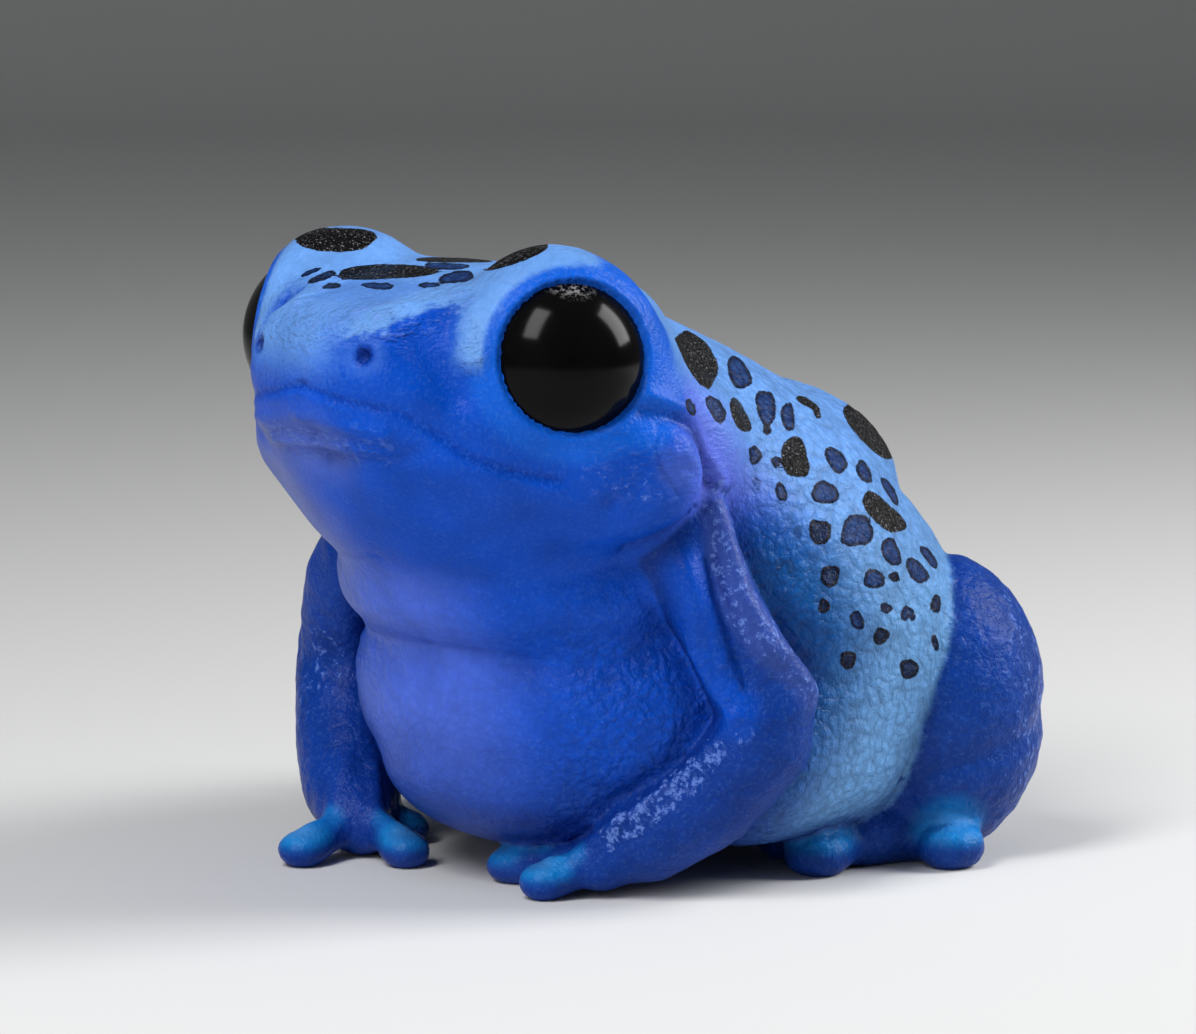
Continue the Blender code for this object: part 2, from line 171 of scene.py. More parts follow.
@dataclass(frozen=True)
class PhotoCamera:
    """The camera of the photograph, and the rays of its pixels in the figure's millimetres."""

    azimuth: float = 45.0
    elevation: float = 8.0
    distance: float = 400.0
    pixels_per_mm: float = 14.0
    target: Point = (0.0, 15.5, 24.6)
    width: int = 1196
    height: int = 1034
    sensor: float = 36.0

    @property
    def forward(self) -> Vector:
        """The way the camera looks."""
        turn, rise = math.radians(self.azimuth), math.radians(self.elevation)
        return Vector(
            (-math.sin(turn) * math.cos(rise), math.cos(turn) * math.cos(rise), -math.sin(rise))
        )

    @property
    def right(self) -> Vector:
        """The way to the right of the picture."""
        turn = math.radians(self.azimuth)
        return Vector((math.cos(turn), math.sin(turn), 0.0))

    @property
    def up(self) -> Vector:
        """The way to the top of the picture."""
        return self.right.cross(self.forward)

    @property
    def eye(self) -> Vector:
        """Where the camera stands."""
        return Vector(self.target) - self.forward * self.distance

    def ray(self, u: float, v: float) -> Vector:
        """The direction through a pixel.

        Args:
            u: pixels from the left edge.
            v: pixels from the top edge.

        Returns:
            A vector of length one.
        """
        focal = self.pixels_per_mm * self.distance
        across = self.right * ((u - self.width / 2) / focal)
        return (self.forward + across - self.up * ((v - self.height / 2) / focal)).normalized()

    def pixels(self, points: np.ndarray) -> np.ndarray:
        """Where points show in the picture.

        Args:
            points: rows of x, y, z.

        Returns:
            Rows of pixels from the left edge and from the top edge.
        """
        rel = points - np.array(self.eye)
        focal = self.pixels_per_mm * self.distance / (rel @ np.array(self.forward))
        across, down = rel @ np.array(self.right) * focal, -(rel @ np.array(self.up)) * focal
        return np.column_stack([across + self.width / 2, down + self.height / 2])

    def place(self, figure: FigureFrame) -> None:
        """Sets up the scene's camera."""
        data = bpy.data.cameras.new("photo_camera")
        data.sensor_width = self.sensor
        data.lens = self.sensor * self.pixels_per_mm * self.distance / self.width
        data.clip_start = 0.01
        camera = bpy.data.objects.new("photo_camera", data)
        bpy.context.scene.collection.objects.link(camera)
        camera.location = figure.metres(self.eye)
        camera.rotation_euler = self.forward.to_track_quat("-Z", "Y").to_euler()
        bpy.context.scene.camera = camera


class Shader:
    """A short way to write a material's nodes."""

    def __init__(self, name: str) -> None:
        """Starts a material with one Principled BSDF."""
        self.material = bpy.data.materials.new(name)
        self.material.use_nodes = True
        self.tree = self.material.node_tree
        self.surface = self.tree.nodes["Principled BSDF"]
        self.place = self.tree.nodes.new("ShaderNodeTexCoord").outputs["Object"]

    def link(self, source: object, socket: object) -> None:
        """Joins an output, or sets a plain value, on a socket."""
        if isinstance(source, bpy.types.NodeSocket):
            self.tree.links.new(source, socket)
        else:
            socket.default_value = source

    def attribute(self, name: str, kind: str = "Fac") -> Socket:
        """A value painted on the mesh."""
        node = self.tree.nodes.new("ShaderNodeAttribute")
        node.attribute_name = name
        return node.outputs[kind]

    def math(self, operation: str, *values: object, clamp: bool = False) -> Socket:
        """One step of arithmetic."""
        node = self.tree.nodes.new("ShaderNodeMath")
        node.operation = operation
        node.use_clamp = clamp
        for value, socket in zip(values, node.inputs):
            self.link(value, socket)
        return node.outputs[0]

    def step(self, value: object, low: float, high: float) -> Socket:
        """A soft step of a value from low to high."""
        node = self.tree.nodes.new("ShaderNodeMapRange")
        node.interpolation_type = "SMOOTHSTEP"
        self.link(value, node.inputs["Value"])
        node.inputs["From Min"].default_value = min(low, high)
        node.inputs["From Max"].default_value = max(low, high)
        node.inputs["To Min"].default_value = 0.0 if low < high else 1.0
        node.inputs["To Max"].default_value = 1.0 if low < high else 0.0
        return node.outputs["Result"]

    def stretched(self, scale: Point) -> Socket:
        """The place on the figure, stretched along its axes."""
        node = self.tree.nodes.new("ShaderNodeMapping")
        node.inputs["Scale"].default_value = scale
        self.link(self.place, node.inputs["Vector"])
        return node.outputs["Vector"]

    def noise(self, size: float, detail: float = 2.0, rough: float = 0.5,
              vector: Optional[Socket] = None) -> Socket:
        """Cloudy noise whose lumps are about this many millimetres across."""
        node = self.tree.nodes.new("ShaderNodeTexNoise")
        self.link(vector or self.place, node.inputs["Vector"])
        node.inputs["Scale"].default_value = 1.0 / (size * MM)
        node.inputs["Detail"].default_value = detail
        node.inputs["Roughness"].default_value = rough
        return node.outputs["Fac"]

    def cells(self, size: float, vector: Optional[Socket] = None) -> Socket:
        """The distance to the middle of cells about this many millimetres across."""
        node = self.tree.nodes.new("ShaderNodeTexVoronoi")
        self.link(vector or self.place, node.inputs["Vector"])
        node.inputs["Scale"].default_value = 1.0 / (size * MM)
        return node.outputs["Distance"]

    def mix(self, share: object, first: object, second: object,
            blend: str = "MIX") -> Socket:
        """One colour laid over another.

        Args:
            share: how much of the second shows.
            first: the colour below, a socket or red, green and blue.
            second: the colour above.
            blend: the mode of mixing.

        Returns:
            The mixed colour.
        """
        node = self.tree.nodes.new("ShaderNodeMix")
        node.data_type = "RGBA"
        node.blend_type = blend
        self.link(share, node.inputs[0])
        for value, socket in ((first, node.inputs[6]), (second, node.inputs[7])):
            self.link((*value, 1.0) if isinstance(value, tuple) else value, socket)
        return node.outputs[2]

    def bump(self, height: object, depth: float, below: object = None) -> Socket:
        """A relief of this many millimetres, over another one."""
        node = self.tree.nodes.new("ShaderNodeBump")
        node.inputs["Strength"].default_value = 1.0
        node.inputs["Distance"].default_value = depth * MM
        self.link(height, node.inputs["Height"])
        if below is not None:
            self.link(below, node.inputs["Normal"])
        return node.outputs["Normal"]


@dataclass(frozen=True)
class PaintedSkin:
    """The painted finish: sprayed blues, brushed spots and a dry brush over a pebbled skin, with painted
    shade and painted glints.
    """

    roughness: float = 0.34
    spot_roughness: float = 0.42
    specular: float = 0.12
    grain_size: float = 0.28
    pebble_size: float = 0.74
    pebble_depth: float = 0.20
    grain_depth: float = 0.13
    wrinkle_depth: float = 0.55

    def material(self) -> bpy.types.Material:
        """Makes the finish, which reads the coats painted on the mesh."""
        s = Shader("painted_skin")
        relief = s.attribute("pebble")
        grain = s.noise(self.grain_size, 2.0, 0.65)
        lumps = s.math("SUBTRACT", 1.0, s.cells(self.pebble_size, vector=self.warped(s)))
        streaks = s.noise(0.8, 2.0, 0.65, s.stretched((1.0, 0.5, 1.7)))

        coat = self.blues(s, relief, grain, lumps, streaks)
        coat = self.brushwork(s, coat, relief, grain, lumps, streaks)
        coat, inside, ink = self.spots(s, coat)

        rough_paint = s.math("MULTIPLY", s.math("MULTIPLY", inside, ink), 0.6)
        height = s.math("ADD", s.math("MULTIPLY_ADD", relief, 0.4, 0.6), rough_paint)
        normal = s.bump(s.math("MULTIPLY", lumps, relief), self.pebble_depth)
        normal = s.bump(s.math("MULTIPLY", grain, height), self.grain_depth, normal)
        drawn = s.math("MULTIPLY", streaks, s.attribute("wrinkle"))
        normal = s.bump(drawn, self.wrinkle_depth, normal)

        rough = s.math("MULTIPLY_ADD", grain, 0.20, self.roughness - 0.10)
        rough = s.math("ADD", rough, s.math("MULTIPLY", inside, self.spot_roughness - self.roughness))
        s.link(coat, s.surface.inputs["Base Color"])
        s.link(rough, s.surface.inputs["Roughness"])
        s.link(normal, s.surface.inputs["Normal"])
        s.surface.inputs["Specular IOR Level"].default_value = self.specular
        return s.material

    def blues(self, s: Shader, relief: Socket, grain: Socket, lumps: Socket, streaks: Socket) -> Socket:
        """The sprayed coats: the deeper blues and the sky blue over them, with painted light and shade on the
        pebbles.

        Args:
            s: the shader being written.
            relief: how pebbled the skin is.
            grain: the fine grain.
            lumps: the pebbles.
            streaks: the marks of the brush.

        Returns:
            The colour so far.
        """
        clouds = s.noise(3.6, 1.0, 0.5)
        sky = s.attribute("sky")
        hard = s.step(s.math("ADD", sky, s.math("MULTIPLY_ADD", streaks, 0.9, -0.45)), 0.32, 0.68)
        mottled = s.math("ADD", sky, s.math("MULTIPLY_ADD", grain, 0.5, -0.25), clamp=True)
        share = s.math("MULTIPLY", s.attribute("sharp"), s.math("SUBTRACT", hard, mottled))
        share = s.math("ADD", mottled, share, clamp=True)
        coat = s.mix(share, s.attribute("coat", "Color"), s.attribute("top", "Color"))
        # Painted light and shade on the pebbles, lighter on their tops and darker between them, over a cloudy
        # tone of the paint.
        high = s.math("MULTIPLY", s.math("MULTIPLY_ADD", lumps, 1.5, -1.0), relief)
        cloud_tone_and_pebble_shading = s.math("ADD", s.math("MULTIPLY_ADD", clouds, 0.5, 0.75), s.math("MULTIPLY", high, 0.30))
        return s.mix(1.0, coat, self.grey(s, cloud_tone_and_pebble_shading), "MULTIPLY")

    def brushwork(self, s: Shader, coat: Socket, relief: Socket, grain: Socket, lumps: Socket,
                  streaks: Socket) -> Socket:
        """Painted shade in the creases, the nostril pits and the hollows; the pale dry brush that catches
        what stands up; and painted glints on the pebbles and the wrinkles.
        """
        # Painted shade: dark blue in the creases and nostril pits, and in the hollows closed in by the skin
        # round them.
        crease_shade = s.math("MULTIPLY", s.attribute("crease_shade"), s.step(grain, 0.85, 0.25))
        coat = s.mix(crease_shade, coat, Blue.SHADE_BLUE.value)
        coat = s.mix(s.math("MULTIPLY", s.attribute("painted_hollow_shade"), 0.75), coat, Blue.SHADE_BLUE.value)
        load = s.attribute("dry")
        caught = s.math("MULTIPLY_ADD", s.noise(0.40, 2.0, 0.8), 0.60, s.math("MULTIPLY", lumps, 0.40))
        caught = s.math("MULTIPLY_ADD", s.math("SUBTRACT", load, 1.0), 0.22, caught)
        dry = s.math("MULTIPLY", s.step(caught, 0.43, 0.56), s.step(load, 0.02, 0.30))
        dry = s.math("MULTIPLY", dry, s.step(grain, 0.36, 0.58))
        coat = s.mix(s.math("MULTIPLY", dry, 0.62), coat, Blue.DRY_BRUSH_AND_GLINT.value)
        # Pale streaks along the wrinkles: partly dry brush, partly painted highlight.
        wrinkle_brush_and_glint = s.math("MULTIPLY", s.attribute("wrinkle"), s.step(streaks, 0.52, 0.68))
        coat = s.mix(s.math("MULTIPLY", wrinkle_brush_and_glint, 0.38), coat, Blue.DRY_BRUSH_AND_GLINT.value)
        # Painted glints: pale tops of the pebbles.
        top = s.math("MULTIPLY", relief, s.step(lumps, 0.72, 0.95))
        pebble_glint = s.math("MULTIPLY", top, s.step(grain, 0.5, 0.7))
        return s.mix(s.math("MULTIPLY", pebble_glint, 0.25), coat, Blue.DRY_BRUSH_AND_GLINT.value)

    def spots(self, s: Shader, coat: Socket) -> tuple[Socket, Socket, Socket]:
        """The hand-painted spots: navy ones are thin in the middle, and black ones carry painted glints.

        Args:
            s: the shader being written.
            coat: the colour below the spots.

        Returns:
            The colour, how far inside a spot each place is, and how black that spot is.
        """
        ragged = s.math("MULTIPLY_ADD", s.noise(0.5, 2.0, 0.6), 0.24, -0.12)
        edge = s.math("ADD", s.attribute("spot"), ragged)
        ink = s.attribute("ink")
        cover = s.math("ADD", s.math("MINIMUM", ink, 0.0), 1.0)
        inside = s.math("MULTIPLY", s.step(edge, 0.05, -0.05), cover)
        worn = s.step(s.noise(0.45, 2.0, 0.75), 0.38, 0.72)
        thin = s.mix(worn, Blue.NAVY.value, Blue.NAVY_THIN.value)
        navy = s.mix(s.step(edge, -0.40, -0.10), thin, Blue.NAVY_RIM.value)
        coat = s.mix(inside, coat, s.mix(ink, navy, Blue.BLACK.value))
        # Painted glints: pale flecks on the black spots.
        spot_glint = s.step(s.noise(0.17, 1.0, 0.85), 0.62, 0.69)
        spot_glint = s.math("MULTIPLY", s.math("MULTIPLY", inside, s.step(ink, 0.3, 1.0)), spot_glint)
        coat = s.mix(s.math("MULTIPLY", spot_glint, 0.9), coat, Blue.GLINT_GREY.value)
        return coat, inside, ink

    @staticmethod
    def warped(s: Shader) -> Socket:
        """The place on the figure, shifted a little by noise, so that no pebble is quite round."""
        node = s.tree.nodes.new("ShaderNodeVectorMath")
        node.operation = "MULTIPLY_ADD"
        wobble = s.tree.nodes.new("ShaderNodeTexNoise")
        s.link(s.place, wobble.inputs["Vector"])
        wobble.inputs["Scale"].default_value = 1.0 / (1.3 * MM)
        wobble.inputs["Detail"].default_value = 0.0
        s.link(wobble.outputs["Color"], node.inputs[0])
        node.inputs[1].default_value = (0.8 * MM,) * 3
        s.link(s.place, node.inputs[2])
        return node.outputs[0]

    @staticmethod
    def grey(s: Shader, value: Socket) -> Socket:
        """A grey as bright as the value."""
        node = s.tree.nodes.new("ShaderNodeCombineColor")
        for socket in node.inputs:
            s.link(value, socket)
        return node.outputs[0]


@dataclass(frozen=True)
class EyeGloss:
    """Black gloss enamel, with a patch of rough paint at the top of the dome, whose pale flecks are painted
    glints.
    """

    roughness: float = 0.14
    patch_roughness: float = 0.40
    patch_depth: float = 0.08
    specular: float = 0.09

    def material(self) -> bpy.types.Material:
        """Makes the finish; its patch is painted on the mesh."""
        s = Shader("black_gloss_enamel")
        patch = s.attribute("patch")
        flecks = s.noise(0.34, 2.0, 0.75)
        patch = s.math("MULTIPLY", patch, s.step(flecks, 0.45, 0.6))
        swirl = s.noise(2.4, 2.0, 0.5)
        rough = s.math("MULTIPLY_ADD", swirl, 0.05, self.roughness - 0.025)
        rough = s.math("ADD", rough, s.math("MULTIPLY", patch, self.patch_roughness))
        colour = s.mix(swirl, Blue.BLACK.value, Blue.BLACK_WARM.value)
        # Pale flecks on the rough patch: painted glints where the rough paint catches the light; its
        # roughness and bump are the rough paint itself.
        colour = s.mix(s.math("MULTIPLY", patch, 0.9), colour, Blue.ROUGH_PAINT_AND_GLINT.value)
        s.link(colour, s.surface.inputs["Base Color"])
        s.link(rough, s.surface.inputs["Roughness"])
        s.link(s.bump(s.math("MULTIPLY", patch, flecks), self.patch_depth), s.surface.inputs["Normal"])
        s.surface.inputs["Specular IOR Level"].default_value = self.specular
        return s.material


@dataclass(frozen=True)
class EyeSeat:
    """The place and size of an eye dome, on the left (side 1) or the right (side -1)."""

    side: int
    radius: float = 6.2
    opening: float = 5.05
    shank: float = 2.6
    centre: Point = (11.4, 0.2, 38.0)
    axis: Point = (0.874, -0.465, 0.139)

    def matrix(self) -> Matrix:
        """The eye's own frame: its axis is +Z and its centre the origin."""
        turn = Vector((self.axis[0] * self.side, *self.axis[1:])).to_track_quat("Z", "Y")
        middle = Vector((self.centre[0] * self.side, *self.centre[1:]))
        return Matrix.Translation(middle) @ turn.to_matrix().to_4x4()

    def measure(self, points: np.ndarray) -> tuple[np.ndarray, np.ndarray]:
        """How far points lie from the eye's axis, and how far along it.

        Args:
            points: rows of x, y, z.

        Returns:
            The distances from the axis, and the heights along it.
        """
        back = np.array(self.matrix().inverted())
        local = points @ back[:3, :3].T + back[:3, 3]
        return np.hypot(local[:, 0], local[:, 1]), local[:, 2]


@dataclass
class EyeDome:
    """One eye: a gloss dome turned about its axis, with its shank sunk in the head."""

    seat: EyeSeat
    name: str
    steps: int = 22
    segments: int = 96
    patch_place: Point = (13.9, -1.0, 43.5)
    patch_width: float = 1.9

    def build(self, figure: FigureFrame, finish: bpy.types.Material) -> bpy.types.Object:
        """Spins the dome and dresses it."""
        seat = self.seat
        edge = math.asin(seat.opening / seat.radius)
        depth = seat.radius * math.cos(edge) - seat.shank
        rows = [(0.0, seat.radius)]
        for k in range(1, self.steps + 1):
            turn = edge * k / self.steps
            rows.append((seat.radius * math.sin(turn), seat.radius * math.cos(turn)))
        rows += [(seat.opening, depth), (0.0, depth)]
        bm = bmesh.new()
        verts = [bm.verts.new((r, 0.0, h)) for r, h in rows]
        edges = [bm.edges.new(pair) for pair in zip(verts, verts[1:])]
        bmesh.ops.spin(bm, geom=verts + edges, cent=(0, 0, 0), axis=(0, 0, 1), angle=2 * math.pi,
                       steps=self.segments, use_merge=True)
        bmesh.ops.remove_doubles(bm, verts=bm.verts, dist=0.001)
        bmesh.ops.recalc_face_normals(bm, faces=bm.faces)
        bmesh.ops.transform(bm, matrix=seat.matrix(), verts=bm.verts)
        layer = bm.verts.layers.float.new("patch")
        spot = Vector((self.patch_place[0] * seat.side, *self.patch_place[1:]))
        for vertex in bm.verts:
            vertex[layer] = max(0.0, 1.0 - ((vertex.co - spot).length / self.patch_width) ** 2)
        bmesh.ops.transform(bm, matrix=figure.matrix(), verts=bm.verts)
        obj = new_object(self.name, bm)
        obj.data.materials.append(finish)
        obj.data.shade_smooth()
        obj.data.set_sharp_from_angle(angle=math.radians(40))
        return obj


def new_object(name: str, bm: bmesh.types.BMesh) -> bpy.types.Object:
    """Links an object made of a bmesh, which is freed."""
    mesh = bpy.data.meshes.new(name)
    bm.to_mesh(mesh)
    bm.free()
    obj = bpy.data.objects.new(name, mesh)
    bpy.context.scene.collection.objects.link(obj)
    return obj


def apply_modifiers(obj: bpy.types.Object) -> None:
    """Replaces the mesh by what the modifiers make of it."""
    graph = bpy.context.evaluated_depsgraph_get()
    mesh = bpy.data.meshes.new_from_object(obj.evaluated_get(graph))
    obj.modifiers.clear()
    old = obj.data
    obj.data = mesh
    bpy.data.meshes.remove(old)


def read_points(mesh: bpy.types.Mesh) -> np.ndarray:
    """The mesh's points as rows of x, y, z."""
    flat = np.empty(len(mesh.vertices) * 3, np.float32)
    mesh.vertices.foreach_get("co", flat)
    return flat.reshape(-1, 3).astype(float)


def read_normals(mesh: bpy.types.Mesh) -> np.ndarray:
    """The directions out of the mesh at its points."""
    flat = np.empty(len(mesh.vertices) * 3, np.float32)
    mesh.vertex_normals.foreach_get("vector", flat)
    return flat.reshape(-1, 3).astype(float)


def write_points(mesh: bpy.types.Mesh, points: np.ndarray) -> None:
    """Moves the mesh's points."""
    mesh.vertices.foreach_set("co", points.astype(np.float32).ravel())
    mesh.update()


@dataclass(frozen=True)
class Stroke:
    """One stroke of the modelling tool along the skin, repeated on the other side unless told not to.

    Its depth sinks the skin, or raises it when below zero, and its width is the half width in
    millimetres. A sharp stroke has a V-shaped floor.
    """

    line: tuple[Point, ...]
    depth: float
    width: float
    sharp: bool = False
    mirrored: bool = True


MOUTH = (
    (0.0, -12.6, 36.5), (1.2, -12.5, 36.2), (3.3, -12.4, 35.7), (7.1, -11.2, 35.1), (8.8, -9.1, 33.7),
    (10.6, -7.4, 32.0), (12.3, -5.8, 31.1), (14.4, -2.6, 30.2),
)


def raised(line: Iterable[Point], by: float) -> tuple[Point, ...]:
    """The same line, this much higher."""
    return tuple((x, y, z + by) for x, y, z in line)


FACE = (
    Stroke(MOUTH, 0.24, 0.24, sharp=True),
    Stroke(raised(MOUTH, -0.60), -0.14, 0.40),
    Stroke(raised(MOUTH, 1.0), 0.10, 0.70),
    Stroke(((0.0, -10.9, 31.3), (4.5, -10.9, 31.5), (7.7, -9.6, 32.1)), 0.26, 0.70),
    Stroke(((5.3, -12.2, 38.8),), 0.85, 0.36),
    Stroke(((5.3, -12.2, 38.8),), -0.16, 1.10),
    Stroke(((7.4, -9.4, 39.8), (8.6, -8.9, 38.4), (9.9, -7.8, 36.2)), 0.60, 1.30),
    Stroke(((4.0, -9.4, 41.2), (6.2, -6.6, 42.0), (6.8, -4.4, 42.5)), -0.20, 0.80),
    Stroke(((6.9, -4.6, 42.3), (8.5, -5.6, 41.4), (9.9, -6.9, 39.8), (10.7, -7.2, 38.4)), -0.26, 0.75),
    Stroke(((0.0, -12.3, 34.6), (3.0, -12.2, 34.0), (6.4, -11.2, 33.6)), -0.22, 0.60),
    Stroke(((0.0, -11.7, 33.2), (3.2, -11.6, 32.8), (6.6, -10.4, 32.6)), 0.20, 0.50),
    Stroke(((0.0, -11.3, 32.3), (3.4, -11.2, 32.2), (6.6, -10.2, 32.2)), -0.22, 0.45),
    Stroke(((16.2, 0.6, 28.6),), 0.25, 0.55),
    Stroke(((18.2, 4.4, 32.0), (18.2, 5.4, 30.6)), -0.34, 1.30),
    Stroke(((17.9, 3.2, 33.6), (18.1, 2.9, 32.4), (18.5, 3.3, 30.8), (18.2, 4.6, 29.3)),
           0.34, 0.28, sharp=True),
    Stroke(((18.6, 4.1, 32.6), (18.7, 4.4, 31.2), (18.5, 5.5, 30.4)), 0.24, 0.24, sharp=True),
    Stroke(((18.4, 6.2, 32.4), (18.5, 6.6, 31.0)), 0.16, 0.26, sharp=True),
)
FOLDS = (
    Stroke(((0.0, -6.3, 23.2), (5.2, -4.1, 22.8), (8.9, -1.2, 22.5), (11.2, 0.7, 22.8),
            (13.7, 3.7, 24.4), (16.9, 5.0, 26.1)), 0.12, 0.60),
    Stroke(((14.6, 3.6, 24.9), (16.9, 5.6, 26.4), (18.2, 7.2, 28.0), (18.2, 7.8, 29.8)),
           0.50, 0.40, sharp=True),
    Stroke(((17.4, 8.8, 29.3), (18.2, 6.9, 32.2), (18.4, 4.6, 34.2), (17.7, 2.0, 34.9)),
           0.46, 0.34, sharp=True),
    Stroke(((18.0, 9.9, 29.4), (18.6, 7.7, 32.4), (18.3, 5.6, 34.8), (17.4, 3.0, 35.8)), -0.30, 0.50),
    Stroke(((0.0, -0.5, 17.4), (3.8, -0.4, 17.1), (7.7, 1.0, 16.4)), 0.16, 0.60),
    Stroke(((6.5, 1.2, 17.2), (10.5, 2.9, 16.5), (12.7, 4.7, 16.8), (13.9, 7.0, 17.9)), 0.16, 0.50),
)
SOFTENED = (
    (MOUTH, 1.1, 16),
    (((0.0, -6.3, 23.0), (5.2, -4.1, 22.6), (8.9, -1.2, 22.5), (11.2, 0.7, 22.8), (13.7, 3.7, 24.4)),
     3.0, 130),
    (((0.0, -0.6, 17.2), (4.0, -0.4, 17.0), (8.0, 1.2, 16.5), (12.0, 4.2, 16.8)), 2.6, 70),
)
ARM_RIDGE = ((17.1, 9.7, 28.7), (17.8, 9.7, 25.4), (19.5, 9.7, 21.4), (20.6, 11.1, 18.6), (21.7, 13.9, 14.9))
ARM_INNER = ((17.0, 6.9, 23.5), (17.7, 7.1, 21.5), (17.4, 8.0, 17.9), (18.4, 8.9, 15.1), (19.6, 9.4, 13.5))
ARM_GROOVE = ((18.2, 8.3, 24.2), (18.8, 8.4, 22.1), (19.7, 9.0, 18.7), (20.3, 9.7, 15.6))
FOREARM_EDGE = ((19.6, 9.2, 13.4), (17.2, 7.2, 10.6), (14.8, 5.2, 8.0), (12.0, 3.6, 5.6))
NOSTRILS = ((5.3, -12.0, 38.8), (-5.3, -12.0, 38.8))
TOES = (((15.6, 21.9), (15.5, 24.2)), ((20.6, 30.5), (18.4, 30.8)), ((10.0, 25.0), (12.2, 26.4)))
PADS = (
    ((8.0, 2.2, 2.0), (9.4, 3.8, 3.0), 2.8), ((2.2, 4.7, 2.0), (5.4, 5.1, 3.0), 2.8),
    ((4.0, 8.8, 2.0), (6.0, 7.8, 3.0), 2.8), ((-12.3, -2.0, 2.0), (-12.4, 0.6, 3.0), 2.8),
    ((-6.9, 3.0, 2.0), (-9.2, 3.4, 3.0), 2.8), ((-13.0, 8.6, 2.0), (-12.8, 6.8, 3.0), 2.8),
) + tuple(
    ((side * x, y, 2.4), (side * knuckle[0], knuckle[1], 3.0), 3.6)
    for side in (1, -1) for (x, y), knuckle in TOES
)
LIMBS = (
    Stroke(ARM_RIDGE, -0.35, 0.95, mirrored=False),
    Stroke(ARM_INNER, -0.30, 0.70, mirrored=False),
    Stroke(ARM_GROOVE, 0.40, 0.55, mirrored=False),
    Stroke(FOREARM_EDGE, -0.30, 0.60, mirrored=False),
    Stroke(((8.2, 2.5, 2.9), (10.3, 4.6, 3.6), (12.6, 6.0, 5.0)), -0.28, 0.60, mirrored=False),
    Stroke(((3.0, 4.8, 2.6), (6.5, 5.2, 3.4), (10.0, 6.4, 5.2)), -0.28, 0.55, mirrored=False),
    Stroke(((7.4, 4.0, 2.6), (10.0, 5.6, 4.2)), 0.35, 0.35, mirrored=False),
    Stroke(((-12.3, -1.4, 2.9), (-12.8, 1.6, 3.6), (-14.4, 4.4, 5.6)), -0.28, 0.65, mirrored=False),
    Stroke(((-7.4, 3.0, 2.9), (-10.4, 3.4, 3.6), (-13.4, 5.4, 5.6)), -0.28, 0.65, mirrored=False),
    Stroke(((-17.6, 7.6, 22.5), (-20.4, 8.6, 17.0), (-21.8, 9.4, 13.6)), 0.35, 0.70, mirrored=False),
    Stroke(((21.5, 28.0, 7.0), (23.2, 33.0, 8.4), (21.0, 38.5, 10.5)), 0.30, 0.80),
)


@dataclass(frozen=True)
class Spot:
    """A painted spot, as the photograph shows it.

    u and v are its middle in pixels of the photograph; width and height are its size in pixels along its
    own axes, and turn is the angle of its width from the horizontal, clockwise, in degrees. Corners
    is the power of its outline: 2 is an ellipse and 4 a rounded square.
    """

    u: float
    v: float
    width: float
    height: float
    turn: float = 0.0
    tone: Tone = Tone.NAVY
    corners: float = 2.4


BACK_SPOTS = (
    Spot(692, 361, 42, 60, -42, Tone.BLACK, 3.6),
    Spot(739, 373, 21, 33, -25),
    Spot(691, 407, 9, 18, -15),
    Spot(716, 409, 14, 32, -30),
    Spot(740, 416, 15, 36, -28, Tone.BLACK),
    Spot(766, 407, 20, 34, -8),
    Spot(767, 430, 8, 10, 0, Tone.DARK),
    Spot(788, 417, 13, 29, -8),
    Spot(808, 403, 8, 26, -62, Tone.BLACK),
    Spot(817, 413, 7, 12, -20, Tone.BLACK),
    Spot(868, 430, 22, 72, -38, Tone.BLACK, 2.6),
    Spot(755, 455, 13, 19, -10),
    Spot(795, 458, 27, 39, -12, Tone.BLACK, 2.8),
    Spot(776, 462, 9, 12, -10),
    Spot(836, 460, 17, 30, -35),
    Spot(864, 472, 13, 24, -32),
    Spot(890, 491, 9, 30, -30),
    Spot(781, 492, 11, 20, -12),
    Spot(757, 483, 9, 15, -12, Tone.FAINT),
    Spot(825, 493, 28, 22, 15),
    Spot(883, 513, 22, 50, -45, Tone.BLACK, 3.2),
    Spot(820, 532, 21, 25, 5, Tone.DARK, 3.4),
    Spot(857, 531, 31, 32, 0, Tone.NAVY, 2.8),
    Spot(891, 552, 18, 28, -25),
    Spot(929, 557, 9, 27, -35),
    Spot(917, 571, 16, 30, -38),
    Spot(830, 576, 19, 21, 0, Tone.DARK, 3.0),
    Spot(874, 579, 22, 19, 10),
    Spot(894, 577, 11, 11, 0, Tone.DARK),
    Spot(779, 564, 9, 15, 10, Tone.FAINT),
    Spot(790, 567, 9, 15, -10, Tone.FAINT),
    Spot(798, 532, 9, 14, 0, Tone.FAINT),
    Spot(824, 606, 11, 16, 5, Tone.DARK),
    Spot(936, 604, 10, 19, 0, Tone.DARK),
    Spot(886, 608, 13, 10, 20),
    Spot(908, 614, 16, 15, 10),
    Spot(857, 620, 13, 21, -20),
    Spot(881, 636, 15, 18, 15, Tone.DARK),
    Spot(935, 643, 7, 17, -10, Tone.DARK),
    Spot(848, 660, 16, 19, 15, Tone.DARK),
    Spot(909, 669, 18, 20, -10, Tone.DARK, 2.8),
)
HEAD_SPOTS = (
    Spot(334, 239, 80, 24, 3, Tone.BLACK, 2.8),
    Spot(386, 272, 102, 14, -2, Tone.BLACK),
    Spot(322, 277, 30, 7, -22, Tone.DARK),
    Spot(311, 272, 22, 4, -24),
    Spot(332, 286, 19, 6, -6, Tone.DARK),
    Spot(378, 286, 34, 6, 3),
    Spot(429, 285, 22, 5, -4),
    Spot(457, 277, 34, 12, -6),
    Spot(447, 266, 46, 6, 2),
    Spot(452, 260, 76, 5, 1, Tone.BLACK),
    Spot(518, 256, 66, 13, -22, Tone.BLACK),
)


